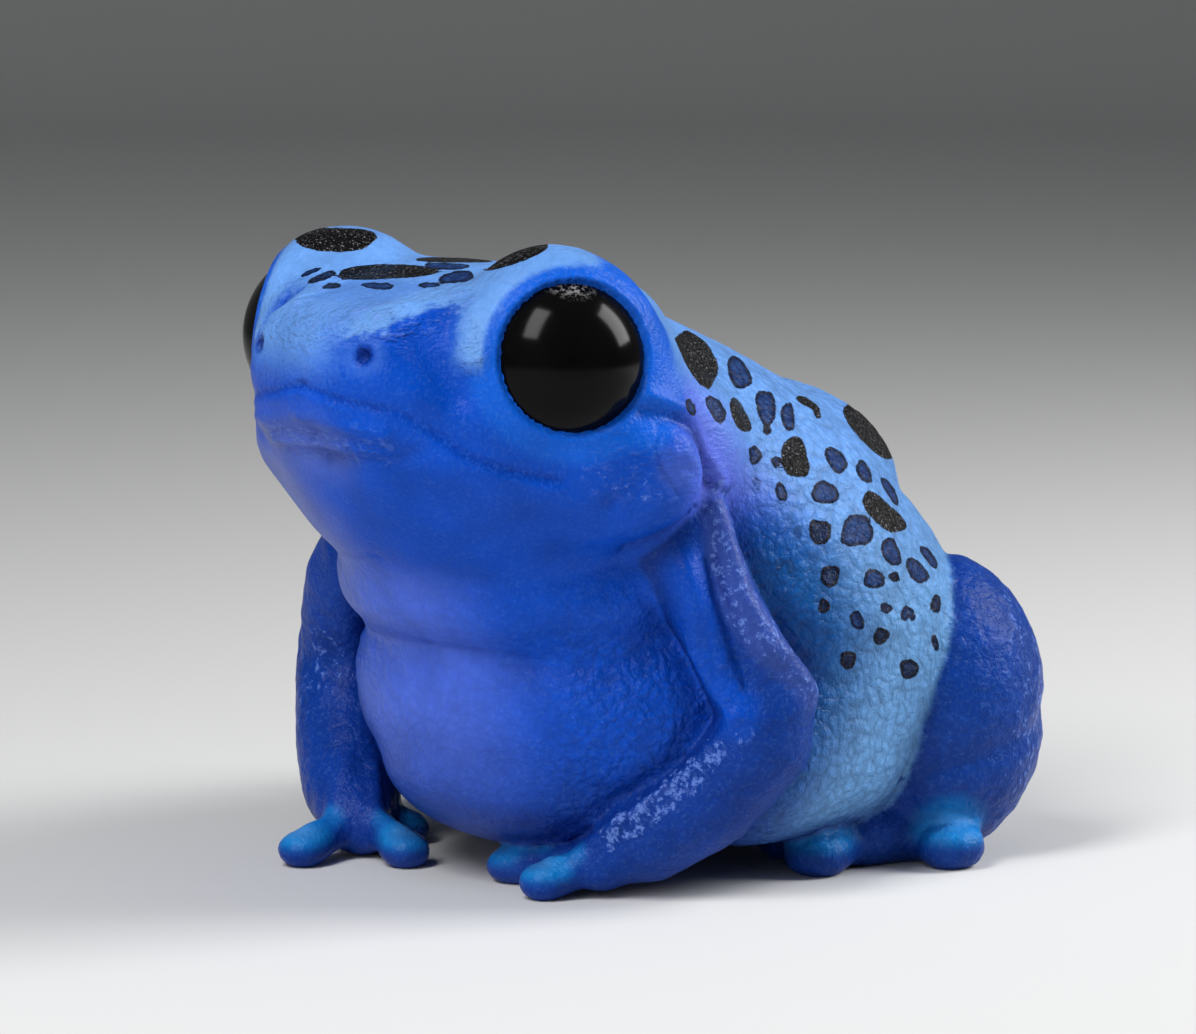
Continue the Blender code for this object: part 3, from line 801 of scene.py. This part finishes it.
@dataclass(frozen=True)
class SkinSpot:
    """A spot on the skin. Its half axes are in millimetres, along two directions in its own plane."""

    centre: Vector
    normal: Vector
    halves: tuple[float, float]
    turn: float
    tone: float
    corners: float
    seed: int
    seen: Optional[Spot] = None

    WOBBLE = 0.07
    WRAP = 2.3
    TURNED_AWAY = 0.30
    SAME_WAY = 0.2

    @property
    def reach(self) -> float:
        """How far from its middle the spot may lie, in millimetres."""
        return self.WRAP * max(self.halves) + 0.5

    def signed_distance(self, points: np.ndarray, normals: np.ndarray, camera: PhotoCamera) -> np.ndarray:
        """Millimetres from the spot's outline, below zero inside it.

        Args:
            points: rows of x, y, z.
            normals: the directions out of the skin there.
            camera: what the spots of the photograph are seen through.

        Returns:
            One distance for each row, large where the skin faces another way.
        """
        if self.seen:
            flat = (camera.pixels(points) - (self.seen.u, self.seen.v)) / camera.pixels_per_mm
            hidden = normals @ np.array(camera.forward) > self.TURNED_AWAY
        else:
            turn = self.normal.to_track_quat("Z", "Y").to_matrix()
            flat = (points - np.array(self.centre)) @ np.array(turn)[:, :2]
            hidden = normals @ np.array(self.normal) < self.SAME_WAY
        cos, sin = math.cos(self.turn), math.sin(self.turn)
        st = flat @ np.array(((cos, -sin), (sin, cos))) / self.halves
        angle = np.arctan2(st[:, 1], st[:, 0])
        phase = self.seed * 1.7
        wobble = 1.0 + self.WOBBLE * (np.sin(2 * angle + phase) * 0.6 + np.sin(3 * angle + 2.3 * phase))
        power = self.corners
        size = (np.abs(st[:, 0]) ** power + np.abs(st[:, 1]) ** power) ** (1.0 / power) * wobble
        length = np.linalg.norm(flat, axis=1)
        gap = length - length / np.maximum(size, 1e-6)
        gap = np.maximum(gap, np.linalg.norm(points - np.array(self.centre), axis=1) - self.reach)
        gap[hidden] = 9.0
        return gap


@dataclass
class Skin:
    """The one skin over all the solids of flesh, with its modelling and its paint."""

    figure: FigureFrame
    camera: PhotoCamera
    voxel: float = 0.42
    fine_voxel: float = 0.28
    swell: float = 0.20
    soften: int = 22
    limb_soften: int = 5
    most_triangles: int = 188_000
    shade_reach: float = 9.0
    shade_rays: int = 7
    grain_lift: float = 0.11
    seats: tuple[EyeSeat, EyeSeat] = (EyeSeat(1), EyeSeat(-1))
    trunk_nodes: tuple[str, ...] = ("head", "torso")
    seed: int = 7
    limb_nodes: tuple[str, ...] = field(
        default_factory=lambda: tuple(
            sorted(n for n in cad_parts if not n.startswith(("eye_", "head", "torso")))
        )
    )

    def copies(self, names: Sequence[str]) -> bmesh.types.BMesh:
        """Merged copies of solids, in the figure's millimetres, swollen to close the gaps."""
        whole = bmesh.new()
        for name in names:
            one = bmesh.new()
            one.from_mesh(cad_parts[name].data)
            bmesh.ops.transform(one, matrix=self.figure.matrix().inverted(), verts=one.verts)
            bmesh.ops.remove_doubles(one, verts=one.verts, dist=0.0001)
            one.normal_update()
            moves = [v.normal * self.swell for v in one.verts]
            for vertex, move in zip(one.verts, moves):
                vertex.co += move
            held = bpy.data.meshes.new("held")
            one.to_mesh(held)
            one.free()
            whole.from_mesh(held)
            bpy.data.meshes.remove(held)
        return whole

    @staticmethod
    def remesh(obj: bpy.types.Object, voxel: float, rounds: int) -> None:
        """Makes one closed surface, and softens it."""
        close = obj.modifiers.new("close", "REMESH")
        close.mode = "VOXEL"
        close.voxel_size = voxel
        soften = obj.modifiers.new("soften", "SMOOTH")
        soften.factor = 0.5
        soften.iterations = rounds
        apply_modifiers(obj)

    def fuse(self) -> bpy.types.Object:
        """The trunk and the limbs as one body, with the eye sockets filled."""
        trunk = self.copies(self.trunk_nodes)
        for seat in self.seats:
            size = Matrix.Scale(seat.radius - 0.15, 4)
            bmesh.ops.create_icosphere(trunk, subdivisions=4, radius=1.0, matrix=seat.matrix() @ size)
        body = new_object("skin", trunk)
        self.remesh(body, self.voxel, self.soften)
        limbs = new_object("limbs", self.copies(self.limb_nodes))
        self.remesh(limbs, self.voxel * 0.8, self.limb_soften)
        whole = bmesh.new()
        whole.from_mesh(body.data)
        whole.from_mesh(limbs.data)
        for obj in (body, limbs):
            mesh = obj.data
            bpy.data.objects.remove(obj)
            bpy.data.meshes.remove(mesh)
        skin = new_object("painted_skin", whole)
        self.remesh(skin, self.fine_voxel, 3)
        return skin

    def relax(self, skin: bpy.types.Object, weight: np.ndarray, rounds: int) -> None:
        """Evens out the skin where the weight says so.

        Args:
            skin: the skin.
            weight: how much each point may move, from 0 to 1.
            rounds: how many times each point moves to the middle of its neighbours.
        """
        mesh = skin.data
        points = read_points(mesh)
        pairs = np.empty(len(mesh.edges) * 2, np.int32)
        mesh.edges.foreach_get("vertices", pairs)
        first, second = pairs.reshape(-1, 2).T
        live = (weight[first] > 0.01) | (weight[second] > 0.01)
        first, second = first[live], second[live]
        count = np.bincount(first, minlength=len(points)) + np.bincount(second, minlength=len(points))
        count = np.maximum(count, 1)[:, None]
        for _ in range(rounds):
            total = np.zeros_like(points)
            for axis in range(3):
                total[:, axis] = np.bincount(first, points[second, axis], len(points))
                total[:, axis] += np.bincount(second, points[first, axis], len(points))
            points += (0.5 * weight)[:, None] * (total / count - points) * (weight > 0.01)[:, None]
        write_points(mesh, points)

    def sculpt(self, skin: bpy.types.Object) -> None:
        """Models the folds, the face and the lids on the skin."""
        for line, reach, rounds in SOFTENED:
            points = read_points(skin.data)
            folded = np.column_stack([np.abs(points[:, 0]), points[:, 1:]])
            self.relax(skin, np.exp(-((line_distance(folded, line) / reach) ** 2)), rounds)
        for seat in self.seats:
            out, high = seat.measure(read_points(skin.data))
            self.relax(skin, np.exp(-(((out - 6.9) / 1.0) ** 2)) * smooth(high, -1.0, 0.5), 30)
        for strokes in (FOLDS + LIMBS, FACE):
            points, normals = read_points(skin.data), read_normals(skin.data)
            tree = BVHTree.FromObject(skin, bpy.context.evaluated_depsgraph_get())
            sink = np.zeros(len(points))
            for stroke in strokes:
                for side in (1, -1) if stroke.mirrored else (1,):
                    line = [tree.find_nearest(Vector((x * side, y, z)))[0] for x, y, z in stroke.line]
                    gap = line_distance(points, [tuple(p) for p in line]) / stroke.width
                    sink += stroke.depth * (np.exp(-gap) if stroke.sharp else np.exp(-gap * gap))
            write_points(skin.data, points - normals * sink[:, None])
        self.roughen(skin)
        self.shape_lids(skin)

    def roughen(self, skin: bpy.types.Object) -> None:
        """Raises the pebbled grain of the flanks, the back and the belly."""
        points, normals = read_points(skin.data), read_normals(skin.data)
        amount = self.pebble(points)
        lift = np.array([
            noise.noise(Vector(p) * 0.95) * 0.65 + noise.noise(Vector(p) * 2.1) * 0.35 for p in points
        ])
        write_points(skin.data, points + normals * (lift * amount * self.grain_lift)[:, None])

    def shape_lids(self, skin: bpy.types.Object) -> None:
        """Raises a rounded lid round each eye, and sinks the skin under the dome."""
        points, normals = read_points(skin.data), read_normals(skin.data)
        for seat in self.seats:
            out, high = seat.measure(points)
            axis = np.array(seat.matrix())[:3, 2]
            near = (high > 0.5) & (out < 9.0)
            lip = 0.10 * np.exp(-(((out - 5.5) / 0.35) ** 2))
            points += normals * (lip * near)[:, None]
            out, high = seat.measure(points)
            inner = near & (out < seat.opening + 0.30)
            dome = np.sqrt(np.maximum(seat.radius**2 - out**2, 0.0))
            dip = 1.1 * smooth(out, seat.opening - 0.05, seat.opening - 0.60)
            drop = np.where(inner, np.maximum(high - (dome - dip), 0.0), 0.0)
            blend = smooth(out, seat.opening + 0.30, seat.opening)
            points -= axis * (drop * blend)[:, None]
        points[:, 2] = np.maximum(points[:, 2], 0.0)
        write_points(skin.data, points)

    def thin(self, skin: bpy.types.Object) -> None:
        """Brings the skin under its most triangles."""
        now = sum(len(p.vertices) - 2 for p in skin.data.polygons)
        if now > self.most_triangles:
            fewer = skin.modifiers.new("fewer", "DECIMATE")
            fewer.ratio = self.most_triangles / now
            apply_modifiers(skin)

    def ridge_height(self, y: np.ndarray) -> np.ndarray:
        """The height of the ridge between the crown and the side of the snout."""
        return np.interp(y, (-12.0, -10.8, -9.4, -6.6, -4.2, 0.0), (40.0, 40.4, 41.0, 41.8, 42.3, 41.0))

    def sky_coat(self, points: np.ndarray) -> np.ndarray:
        """How much of the light sky blue lies on the crown, the back and the flanks."""
        x, y, z = points.T
        side = np.abs(x)
        soft = np.where(side < 4.0, 2.2, 0.9)
        crown = smooth(z - self.ridge_height(y), -soft, soft) * smooth(y, 8.0, 3.0)
        # The snout's sky blue is paint; its wider reach on the right side (x below 0) is a painted highlight.
        reach = np.where(x > 0, 5.6, 8.6)
        tip = smooth(side, reach, reach - 5.4) * smooth(z, 35.6, 40.0) * smooth(y, -7.0, -9.5) * 0.85
        crown = np.maximum(crown, tip)
        start = np.interp(
            z,
            (2, 7, 12, 14, 18, 24, 28, 32, 36, 39, 41.5),
            (15, 16.5, 19, 20, 20.5, 18, 14.5, 11, 8, 3, -6),
        )
        back = smooth(y - start, -3.4, 4.2) * smooth(z, 1.5, 6.0)
        band = np.zeros(len(points))
        for seat in self.seats:
            out, high = seat.measure(points)
            ring = smooth(out, 6.0, 6.4) * smooth(out, 8.5, 7.0) * (high > 0.0) * (seat.side * x > 0)
            band = np.maximum(band, ring * smooth(z, 37.2, 39.0) * smooth(y, 1.0, -1.0))
            behind = smooth(y, 0.5, 3.0)
            lid = smooth(out, 6.65 + 1.3 * behind, 6.15 + behind) * (high > 0.0) * (seat.side * x > 0)
            crown = crown * (1.0 - lid)
            back = back * (1.0 - lid)
        return np.maximum(np.maximum(crown, back), band)

    def pebble(self, points: np.ndarray) -> np.ndarray:
        """How pebbled the skin is."""
        side, y, z = np.abs(points[:, 0]), points[:, 1], points[:, 2]
        flank = smooth(y, 8.0, 16.0) * smooth(z, 42.0, 34.0)
        belly = smooth(side, 4.0, 12.0) * smooth(z, 22.0, 17.0) * smooth(y, -2.0, 3.0) * 0.9
        chest = smooth(z, 25.0, 21.0) * 0.40
        crown = smooth(z, 38.5, 41.5) * 0.35
        return np.clip(np.maximum.reduce([flank, belly, chest, crown, np.full(len(points), 0.12)]), 0, 1)

    def coats(self, points: np.ndarray, near: dict[str, np.ndarray]) -> np.ndarray:
        """The sprayed blues below the sky coat, with painted shade and painted highlights among them.

        Args:
            points: rows of x, y, z.
            near: the distance of each point from the trunk, the arms and the legs.

        Returns:
            Rows of red, green, blue and one.
        """
        x, y, z = points.T
        side = np.abs(x)
        colour = np.tile(np.array(Blue.COBALT.value), (len(points), 1))

        def spray(share: np.ndarray, paint: Blue) -> None:
            """Lays one coat over what is there."""
            colour[:] = colour + share[:, None] * (np.array(paint.value) - colour)

        # The violet on the chest and belly is paint; its fading out towards the right side (x below -5) is
        # painted shade.
        chest = smooth(z, 24.5, 21.5) * smooth(y, 14.0, 6.0) * smooth(x, 9.0, 1.0) * smooth(x, -14.0, -5.0)
        spray(chest * 0.9, Blue.VIOLET)
        belly = smooth(z, 17.5, 15.5) * smooth(y, 14.0, 8.0) * smooth(x, 12.0, 3.0) * smooth(x, -13.0, -6.0)
        spray(belly * 0.40, Blue.VIOLET)
        neck = smooth(y, 4.0, 8.0) * smooth(z, 25.0, 29.5) * smooth(side, 13.0, 16.0)
        spray(neck * 0.85, Blue.NECK)
        for ear in ((18.2, 4.9, 31.3), (-18.2, 4.9, 31.3)):
            spray(smooth(line_distance(points, (ear,)), 2.8, 1.4) * 0.7, Blue.VIOLET)
        # Painted highlight: a pale sheen on the chin and the throat of the right side.
        chin = smooth(line_distance(points, ((-5.0, -10.0, 31.8), (0.0, -11.2, 32.4))), 4.6, 0.6)
        spray(chin * 0.6, Blue.GREY_BAND_AND_SHEEN)
        throat_sheen = smooth(line_distance(points, ((-6.0, -7.6, 29.0), (-4.0, -7.6, 26.5))), 5.0, 1.0)
        spray(throat_sheen * 0.45, Blue.GREY_BAND_AND_SHEEN)
        # Painted shade: dark teal on the flank behind each arm, where the arm shades it.
        flank = smooth(y, 9.5, 13.5) * smooth(z, 30.0, 22.0) * smooth(side, 11.0, 14.0)
        spray(flank * 0.95, Blue.ARM_SHADOW_TEAL)
        # Painted shade: deep blue on the undersides of the trunk, low down near the floor.
        under = smooth(z, 13.0, 3.0) * smooth(near["trunk"], 1.2, 0.2)
        spray(under * 0.85, Blue.DEEP)
        # Painted highlight: a pale ring round each nostril; painted shade: navy in its pit.
        for nostril in NOSTRILS:
            gap = line_distance(points, (nostril,))
            spray(smooth(gap, 1.9, 1.2) * smooth(gap, 0.6, 0.9) * 0.14, Blue.SKY)
            spray(smooth(gap, 0.62, 0.32) * 0.9, Blue.NAVY_RIM)
        for seat in self.seats:
            out, high = seat.measure(points)
            edge = 7.6 + 1.4 * smooth(y, 0.5, 3.0)
            spray(smooth(out, edge, edge - 0.9) * (high > 0.0) * (seat.side * x > 0) * 0.95, Blue.LID)
        limb = smooth(near["trunk"] - np.minimum(near["arms"], near["legs"]), -0.2, 0.5)
        spray(limb * 0.92, Blue.DEEP)
        arm = limb * smooth(near["legs"] - near["arms"], -1.0, 1.0)
        inner = smooth(line_distance(points, ARM_INNER), 2.4, 1.0) * arm
        spray(inner * 0.8, Blue.COBALT)
        band = smooth(line_distance(points, ARM_RIDGE), 2.0, 1.0) * arm
        spray(band * 0.25, Blue.GREY_BAND_AND_SHEEN)
        for pad, knuckle, reach in PADS:
            on_pad = smooth(line_distance(points, (pad,)), reach, reach * 0.5)
            on_back = smooth(line_distance(points, (pad, knuckle)), reach * 0.55, reach * 0.2)
            upper = smooth(z, pad[2] - 1.1, pad[2] + 0.1)
            spray(np.maximum(on_pad, on_back * 0.6) * upper * limb * 0.95, Blue.CYAN)
            # Painted highlight: a paler patch on top of each toe pad.
            spray(smooth(line_distance(points, (pad,)), reach * 0.6, 0.3) * upper * 0.4, Blue.FLANK)
        return np.column_stack([colour, np.ones(len(points))])

    def dry_brush(self, points: np.ndarray, near: dict[str, np.ndarray]) -> np.ndarray:
        """Where the pale dry brush has caught the grain."""
        x, y, z = points.T
        arms = smooth(line_distance(points, ARM_RIDGE), 2.0, 0.8) * 0.62
        forearm = smooth(line_distance(points, ((19.6, 10.2, 12.2), (17.1, 8.1, 9.6), (15.0, 6.3, 7.0),
                                                (12.6, 4.5, 4.8))), 1.7, 0.5)
        far_arm = smooth(line_distance(points, ((-20.0, 7.2, 14.0), (-20.5, 6.8, 9.5))), 3.4, 1.0) * 0.45
        ridge = smooth(line_distance(points, ((3.4, -11.6, 40.6), (6.0, -8.6, 41.4), (6.6, -4.8, 42.4))),
                       1.5, 0.4) * 0.35
        cheek = smooth(line_distance(points, ((15.6, 0.4, 31.2), (17.2, 2.6, 29.4))), 2.8, 0.8) * 0.4
        legs = smooth(near["trunk"] - near["legs"], 0.5, 3.5) * smooth(y, 31.0, 37.0) * 0.55
        brow = smooth(line_distance(points, ((9.0, -5.4, 41.2), (10.6, -7.0, 38.8))), 1.2, 0.4) * 0.7
        return np.clip(np.maximum.reduce([arms, forearm, far_arm, ridge, cheek, legs, brow]), 0.0, 1.0)

    def off_lids(self, points: np.ndarray) -> np.ndarray:
        """1 away from the eyelids, and 0 on them."""
        gap = np.minimum.reduce([seat.measure(points)[0] for seat in self.seats])
        return smooth(gap, 7.0, 9.0)

    def top_coat(self, points: np.ndarray) -> np.ndarray:
        """The colour of the sky coat, which is greyer on the flanks.

        Args:
            points: rows of x, y, z.

        Returns:
            Rows of red, green, blue and one.
        """
        share = smooth(points[:, 2], 32.0, 17.0)[:, None]
        colour = np.array(Blue.SKY.value) * (1.0 - share) + np.array(Blue.FLANK.value) * share
        return np.column_stack([colour, np.ones(len(points))])

    def wrinkle(self, points: np.ndarray) -> np.ndarray:
        """Where the skin is drawn into fine wrinkles: along the snout's ridge and round the ear."""
        folded = np.column_stack([np.abs(points[:, 0]), points[:, 1:]])
        ridge = ((1.0, -11.4, 40.2), (5.4, -9.6, 40.9), (6.4, -5.0, 42.2))
        snout = smooth(line_distance(folded, ridge), 3.2, 1.0)
        ear = smooth(line_distance(folded, ((16.5, 0.8, 31.5), (18.3, 5.5, 30.5))), 3.6, 1.6) * 0.35
        brow = smooth(line_distance(folded, ((8.6, -5.4, 41.6), (10.6, -7.0, 38.8))), 1.6, 0.5) * 0.8
        neck = smooth(line_distance(folded, ((16.9, 8.2, 36.2), (18.4, 9.8, 30.0))), 3.0, 1.2) * 0.4
        chin = smooth(line_distance(points, ((-4.0, -11.0, 32.6), (5.0, -10.8, 32.6))), 2.4, 1.0) * 0.7
        return np.maximum.reduce([snout, ear, brow, neck, chin])

    def crease_shade(self, points: np.ndarray) -> np.ndarray:
        """Painted shade: where dark blue lies in the creases of the mouth and the jaw, and in the nostril
        pits.
        """
        total = np.zeros(len(points))
        for stroke, reach, amount in ((FACE[0], 0.60, 0.50), (FOLDS[1], 0.9, 0.6), (FOLDS[2], 0.8, 0.6)):
            for side in (1, -1):
                line = [(x * side, y, z) for x, y, z in stroke.line]
                total = np.maximum(total, smooth(line_distance(points, line), reach, 0.1) * amount)
        pits = np.minimum.reduce([line_distance(points, (nostril,)) for nostril in NOSTRILS])
        return np.maximum(total, smooth(pits, 0.95, 0.45))

    def cast_spots(self, skin: bpy.types.Object) -> list[SkinSpot]:
        """Finds the spots that the photograph shows on the skin, and gives the far side its own."""
        tree = BVHTree.FromObject(skin, bpy.context.evaluated_depsgraph_get())
        eye = self.camera.eye
        found = []
        for index, spot in enumerate(HEAD_SPOTS + BACK_SPOTS):
            hit, normal, _, _ = tree.ray_cast(eye, self.camera.ray(spot.u, spot.v))
            if hit is None:
                log.warning("spot at %s, %s misses the skin", spot.u, spot.v)
                continue
            halves = (spot.width / 2 / self.camera.pixels_per_mm, spot.height / 2 / self.camera.pixels_per_mm)
            found.append(SkinSpot(hit, normal, halves, math.radians(spot.turn), spot.tone.value,
                                  spot.corners, index, spot))
        return found + self.far_spots(tree, found)

    def far_spots(self, tree: BVHTree, near: Sequence[SkinSpot]) -> list[SkinSpot]:
        """Spots on the hidden side: like those on the near side, but not their mirror image."""
        rng = np.random.default_rng(self.seed)
        made = []
        for spot in near:
            shift = Vector(rng.normal(0.0, 0.8, 3))
            size = rng.uniform(0.9, 1.25)
            turn = rng.uniform(0.0, math.pi)
            if spot.centre.x < 3.0 or spot.centre.y < 2.0:
                continue
            place = Vector((-spot.centre.x, spot.centre.y, spot.centre.z)) + shift
            hit, normal, _, _ = tree.find_nearest(place)
            stretch = min(1.8, 0.75 / max(0.3, abs(spot.normal.dot(self.camera.forward))))
            halves = (spot.halves[0] * size * stretch, spot.halves[1] * size)
            made.append(SkinSpot(hit, normal, halves, turn, spot.tone, spot.corners, spot.seed + 50))
        return made

    def shade(self, skin: bpy.types.Object, points: np.ndarray, normals: np.ndarray) -> np.ndarray:
        """Painted shade: how closed in each point lies by the skin round it, from 0 in the open to 1.

        Args:
            skin: the skin.
            points: its points.
            normals: the directions out of it.

        Returns:
            One value for each point.
        """
        tree = BVHTree.FromObject(skin, bpy.context.evaluated_depsgraph_get())
        rng = np.random.default_rng(self.seed)
        ways = rng.normal(size=(self.shade_rays, 3))
        ways /= np.linalg.norm(ways, axis=1)[:, None]
        hits = np.zeros(len(points))
        for way in ways:
            leaning = normals * 1.15 + way
            for row, (point, normal, lean) in enumerate(zip(points, normals, leaning)):
                start = Vector(point + normal * 0.15)
                _, _, _, gap = tree.ray_cast(start, Vector(lean).normalized(), self.shade_reach)
                if gap is not None:
                    hits[row] += 1.0 - gap / self.shade_reach
        return np.clip(hits / len(ways) * 1.6, 0.0, 1.0)

    def paint(self, skin: bpy.types.Object) -> None:
        """Lays the coats, the brushwork and the spots on the skin."""
        mesh = skin.data
        points, normals = read_points(mesh), read_normals(mesh)
        near = self.nearness(points)
        spots = self.cast_spots(skin)
        edge = np.full(len(points), 9.0)
        ink = np.zeros(len(points))
        for spot in spots:
            rows = np.linalg.norm(points - np.array(spot.centre), axis=1) < spot.reach + 1.5
            gap = spot.signed_distance(points[rows], normals[rows], self.camera)
            closer = gap < edge[rows]
            held = ink[rows]
            held[closer] = spot.tone
            ink[rows] = held
            edge[rows] = np.minimum(edge[rows], gap)
        limb = smooth(np.minimum(near["arms"], near["legs"]) - near["trunk"], -0.5, 0.3)
        layers = {
            "sky": self.sky_coat(points) * limb,
            "sharp": smooth(points[:, 1], 8.0, 3.0) * smooth(points[:, 2], 37.5, 39.5)
            * smooth(np.abs(points[:, 0]), 2.6, 4.6) * self.off_lids(points)
            * np.where(points[:, 0] > 0, 1.0, 0.4),
            # Painted shade: the creases, the nostril pits and the hollows are darkened where shade falls.
            "crease_shade": self.crease_shade(points),
            "painted_hollow_shade": self.shade(skin, points, normals),
            "dry": self.dry_brush(points, near),
            "pebble": self.pebble(points) * (0.45 + 0.55 * limb),
            "wrinkle": self.wrinkle(points),
            "spot": np.clip(edge, -3.0, 3.0),
            "ink": ink,
        }
        for name, values in layers.items():
            mesh.attributes.new(name, "FLOAT", "POINT").data.foreach_set("value", values.astype(np.float32))
        for name, colours in (("coat", self.coats(points, near)), ("top", self.top_coat(points))):
            coat = mesh.attributes.new(name, "FLOAT_COLOR", "POINT")
            coat.data.foreach_set("color", colours.astype(np.float32).ravel())
        log.info("%d spots", len(spots))

    def nearness(self, points: np.ndarray) -> dict[str, np.ndarray]:
        """How far each point is from the solids of the trunk, the arms and the legs."""
        groups = {
            "trunk": self.trunk_nodes,
            "arms": [n for n in self.limb_nodes if "arm" in n or n.startswith("hand")],
            "legs": [n for n in self.limb_nodes if n.startswith("hind")],
        }
        result = {}
        for group, names in groups.items():
            bm = self.copies(names)
            tree = BVHTree.FromBMesh(bm)
            bm.free()
            gaps = []
            for point in points:
                place = Vector(point)
                hit, normal, _, gap = tree.find_nearest(place)
                gaps.append(-gap if gap < 1.0 and (place - hit).dot(normal) < 0 else gap)
            result[group] = np.array(gaps)
        return result

    def build(self, finish: bpy.types.Material) -> bpy.types.Object:
        """Fuses, models, thins and paints the skin, and sets it in the frame."""
        skin = self.fuse()
        self.sculpt(skin)
        self.thin(skin)
        self.paint(skin)
        skin.data.transform(self.figure.matrix())
        skin.data.materials.clear()
        skin.data.materials.append(finish)
        skin.data.shade_smooth()
        return skin


@dataclass(frozen=True)
class Softbox:
    """A studio light, given by where it stands round the figure; mirrored if gloss shows it."""

    name: str
    azimuth: float
    elevation: float
    distance: float
    width: float
    height: float
    power: float
    mirrored: bool = True

    def place(self, figure: FigureFrame, target: Point) -> None:
        """Hangs the light, turned to the figure."""
        turn, rise = math.radians(self.azimuth), math.radians(self.elevation)
        way = Vector((math.sin(turn) * math.cos(rise), -math.cos(turn) * math.cos(rise), math.sin(rise)))
        data = bpy.data.lights.new(self.name, "AREA")
        data.shape = "RECTANGLE"
        data.size = self.width * MM
        data.size_y = self.height * MM
        data.energy = self.power
        lamp = bpy.data.objects.new(self.name, data)
        bpy.context.scene.collection.objects.link(lamp)
        lamp.location = figure.metres(Vector(target) + way * self.distance)
        lamp.rotation_euler = (-way).to_track_quat("-Z", "Y").to_euler()
        lamp.visible_camera = False
        lamp.visible_glossy = self.mirrored


@dataclass
class Studio:
    """A round pale floor that curves up to a wall, with soft lights."""

    figure: FigureFrame
    floor_radius: float = 0.75
    curve_radius: float = 0.30
    wall_height: float = 0.50
    curve_steps: int = 12
    segments: int = 96
    target: Point = (0.0, 12.0, 22.0)
    paper: Point = (0.64, 0.64, 0.635)
    room: Point = (0.9, 0.95, 1.0)
    room_light: float = 0.11
    lights: tuple[Softbox, ...] = (
        Softbox("left_softbox", 8.0, 50.0, 330.0, 100.0, 210.0, 0.88),
        Softbox("right_softbox", 142.0, 33.0, 330.0, 130.0, 210.0, 1.15),
        Softbox("top_softbox", 60.0, 82.0, 420.0, 260.0, 260.0, 0.10, mirrored=False),
        Softbox("front_fill", 10.0, 14.0, 520.0, 380.0, 380.0, 0.70, mirrored=False),
    )

    def floor_finish(self) -> bpy.types.Material:
        """Matt pale paper."""
        s = Shader("pale_paper")
        s.surface.inputs["Base Color"].default_value = (*self.paper, 1.0)
        s.surface.inputs["Roughness"].default_value = 0.9
        s.surface.inputs["Specular IOR Level"].default_value = 0.0
        return s.material

    def build(self) -> None:
        """Spins the floor and its wall, and hangs the lights."""
        rows = [(0.0, 0.0), (self.floor_radius, 0.0)]
        for k in range(1, self.curve_steps + 1):
            turn = math.pi / 2 * k / self.curve_steps
            rows.append((self.floor_radius + self.curve_radius * math.sin(turn),
                         self.curve_radius * (1 - math.cos(turn))))
        rows.append((rows[-1][0], rows[-1][1] + self.wall_height))
        bm = bmesh.new()
        verts = [bm.verts.new((r, 0.0, h)) for r, h in rows]
        edges = [bm.edges.new(pair) for pair in zip(verts, verts[1:])]
        bmesh.ops.spin(bm, geom=verts + edges, cent=(0, 0, 0), axis=(0, 0, 1), angle=2 * math.pi,
                       steps=self.segments, use_merge=True)
        bmesh.ops.remove_doubles(bm, verts=bm.verts, dist=0.0001)
        bmesh.ops.recalc_face_normals(bm, faces=bm.faces)
        floor = new_object("pale_floor", bm)
        floor.data.materials.append(self.floor_finish())
        floor.data.shade_smooth()
        for light in self.lights:
            light.place(self.figure, self.target)
        world = bpy.data.worlds.new("soft_room")
        world.use_nodes = True
        back = world.node_tree.nodes["Background"]
        back.inputs["Color"].default_value = (*self.room, 1.0)
        back.inputs["Strength"].default_value = self.room_light
        bpy.context.scene.world = world


def main() -> None:
    """Builds the figure's looks in order."""
    logging.basicConfig(level=logging.INFO, format="%(name)s: %(message)s")
    bpy.context.scene.view_settings.view_transform = "Standard"
    figure = FigureFrame.from_eyes()
    camera = PhotoCamera()
    camera.place(figure)

    skin_maker = Skin(figure, camera)
    skin = skin_maker.build(PaintedSkin().material())
    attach(skin, "root")
    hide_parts(*skin_maker.trunk_nodes, *skin_maker.limb_nodes)
    log.info("skin: %d faces", len(skin.data.polygons))

    gloss = EyeGloss().material()
    for seat, word in zip(skin_maker.seats, ("left", "right")):
        eye = EyeDome(seat, f"gloss_eye_{word}").build(figure, gloss)
        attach(eye, "root")
        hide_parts(f"eye_{word}")
        log.info("eye %s: %d faces", word, len(eye.data.polygons))

    Studio(figure).build()


if __name__ == "__main__":
    main()
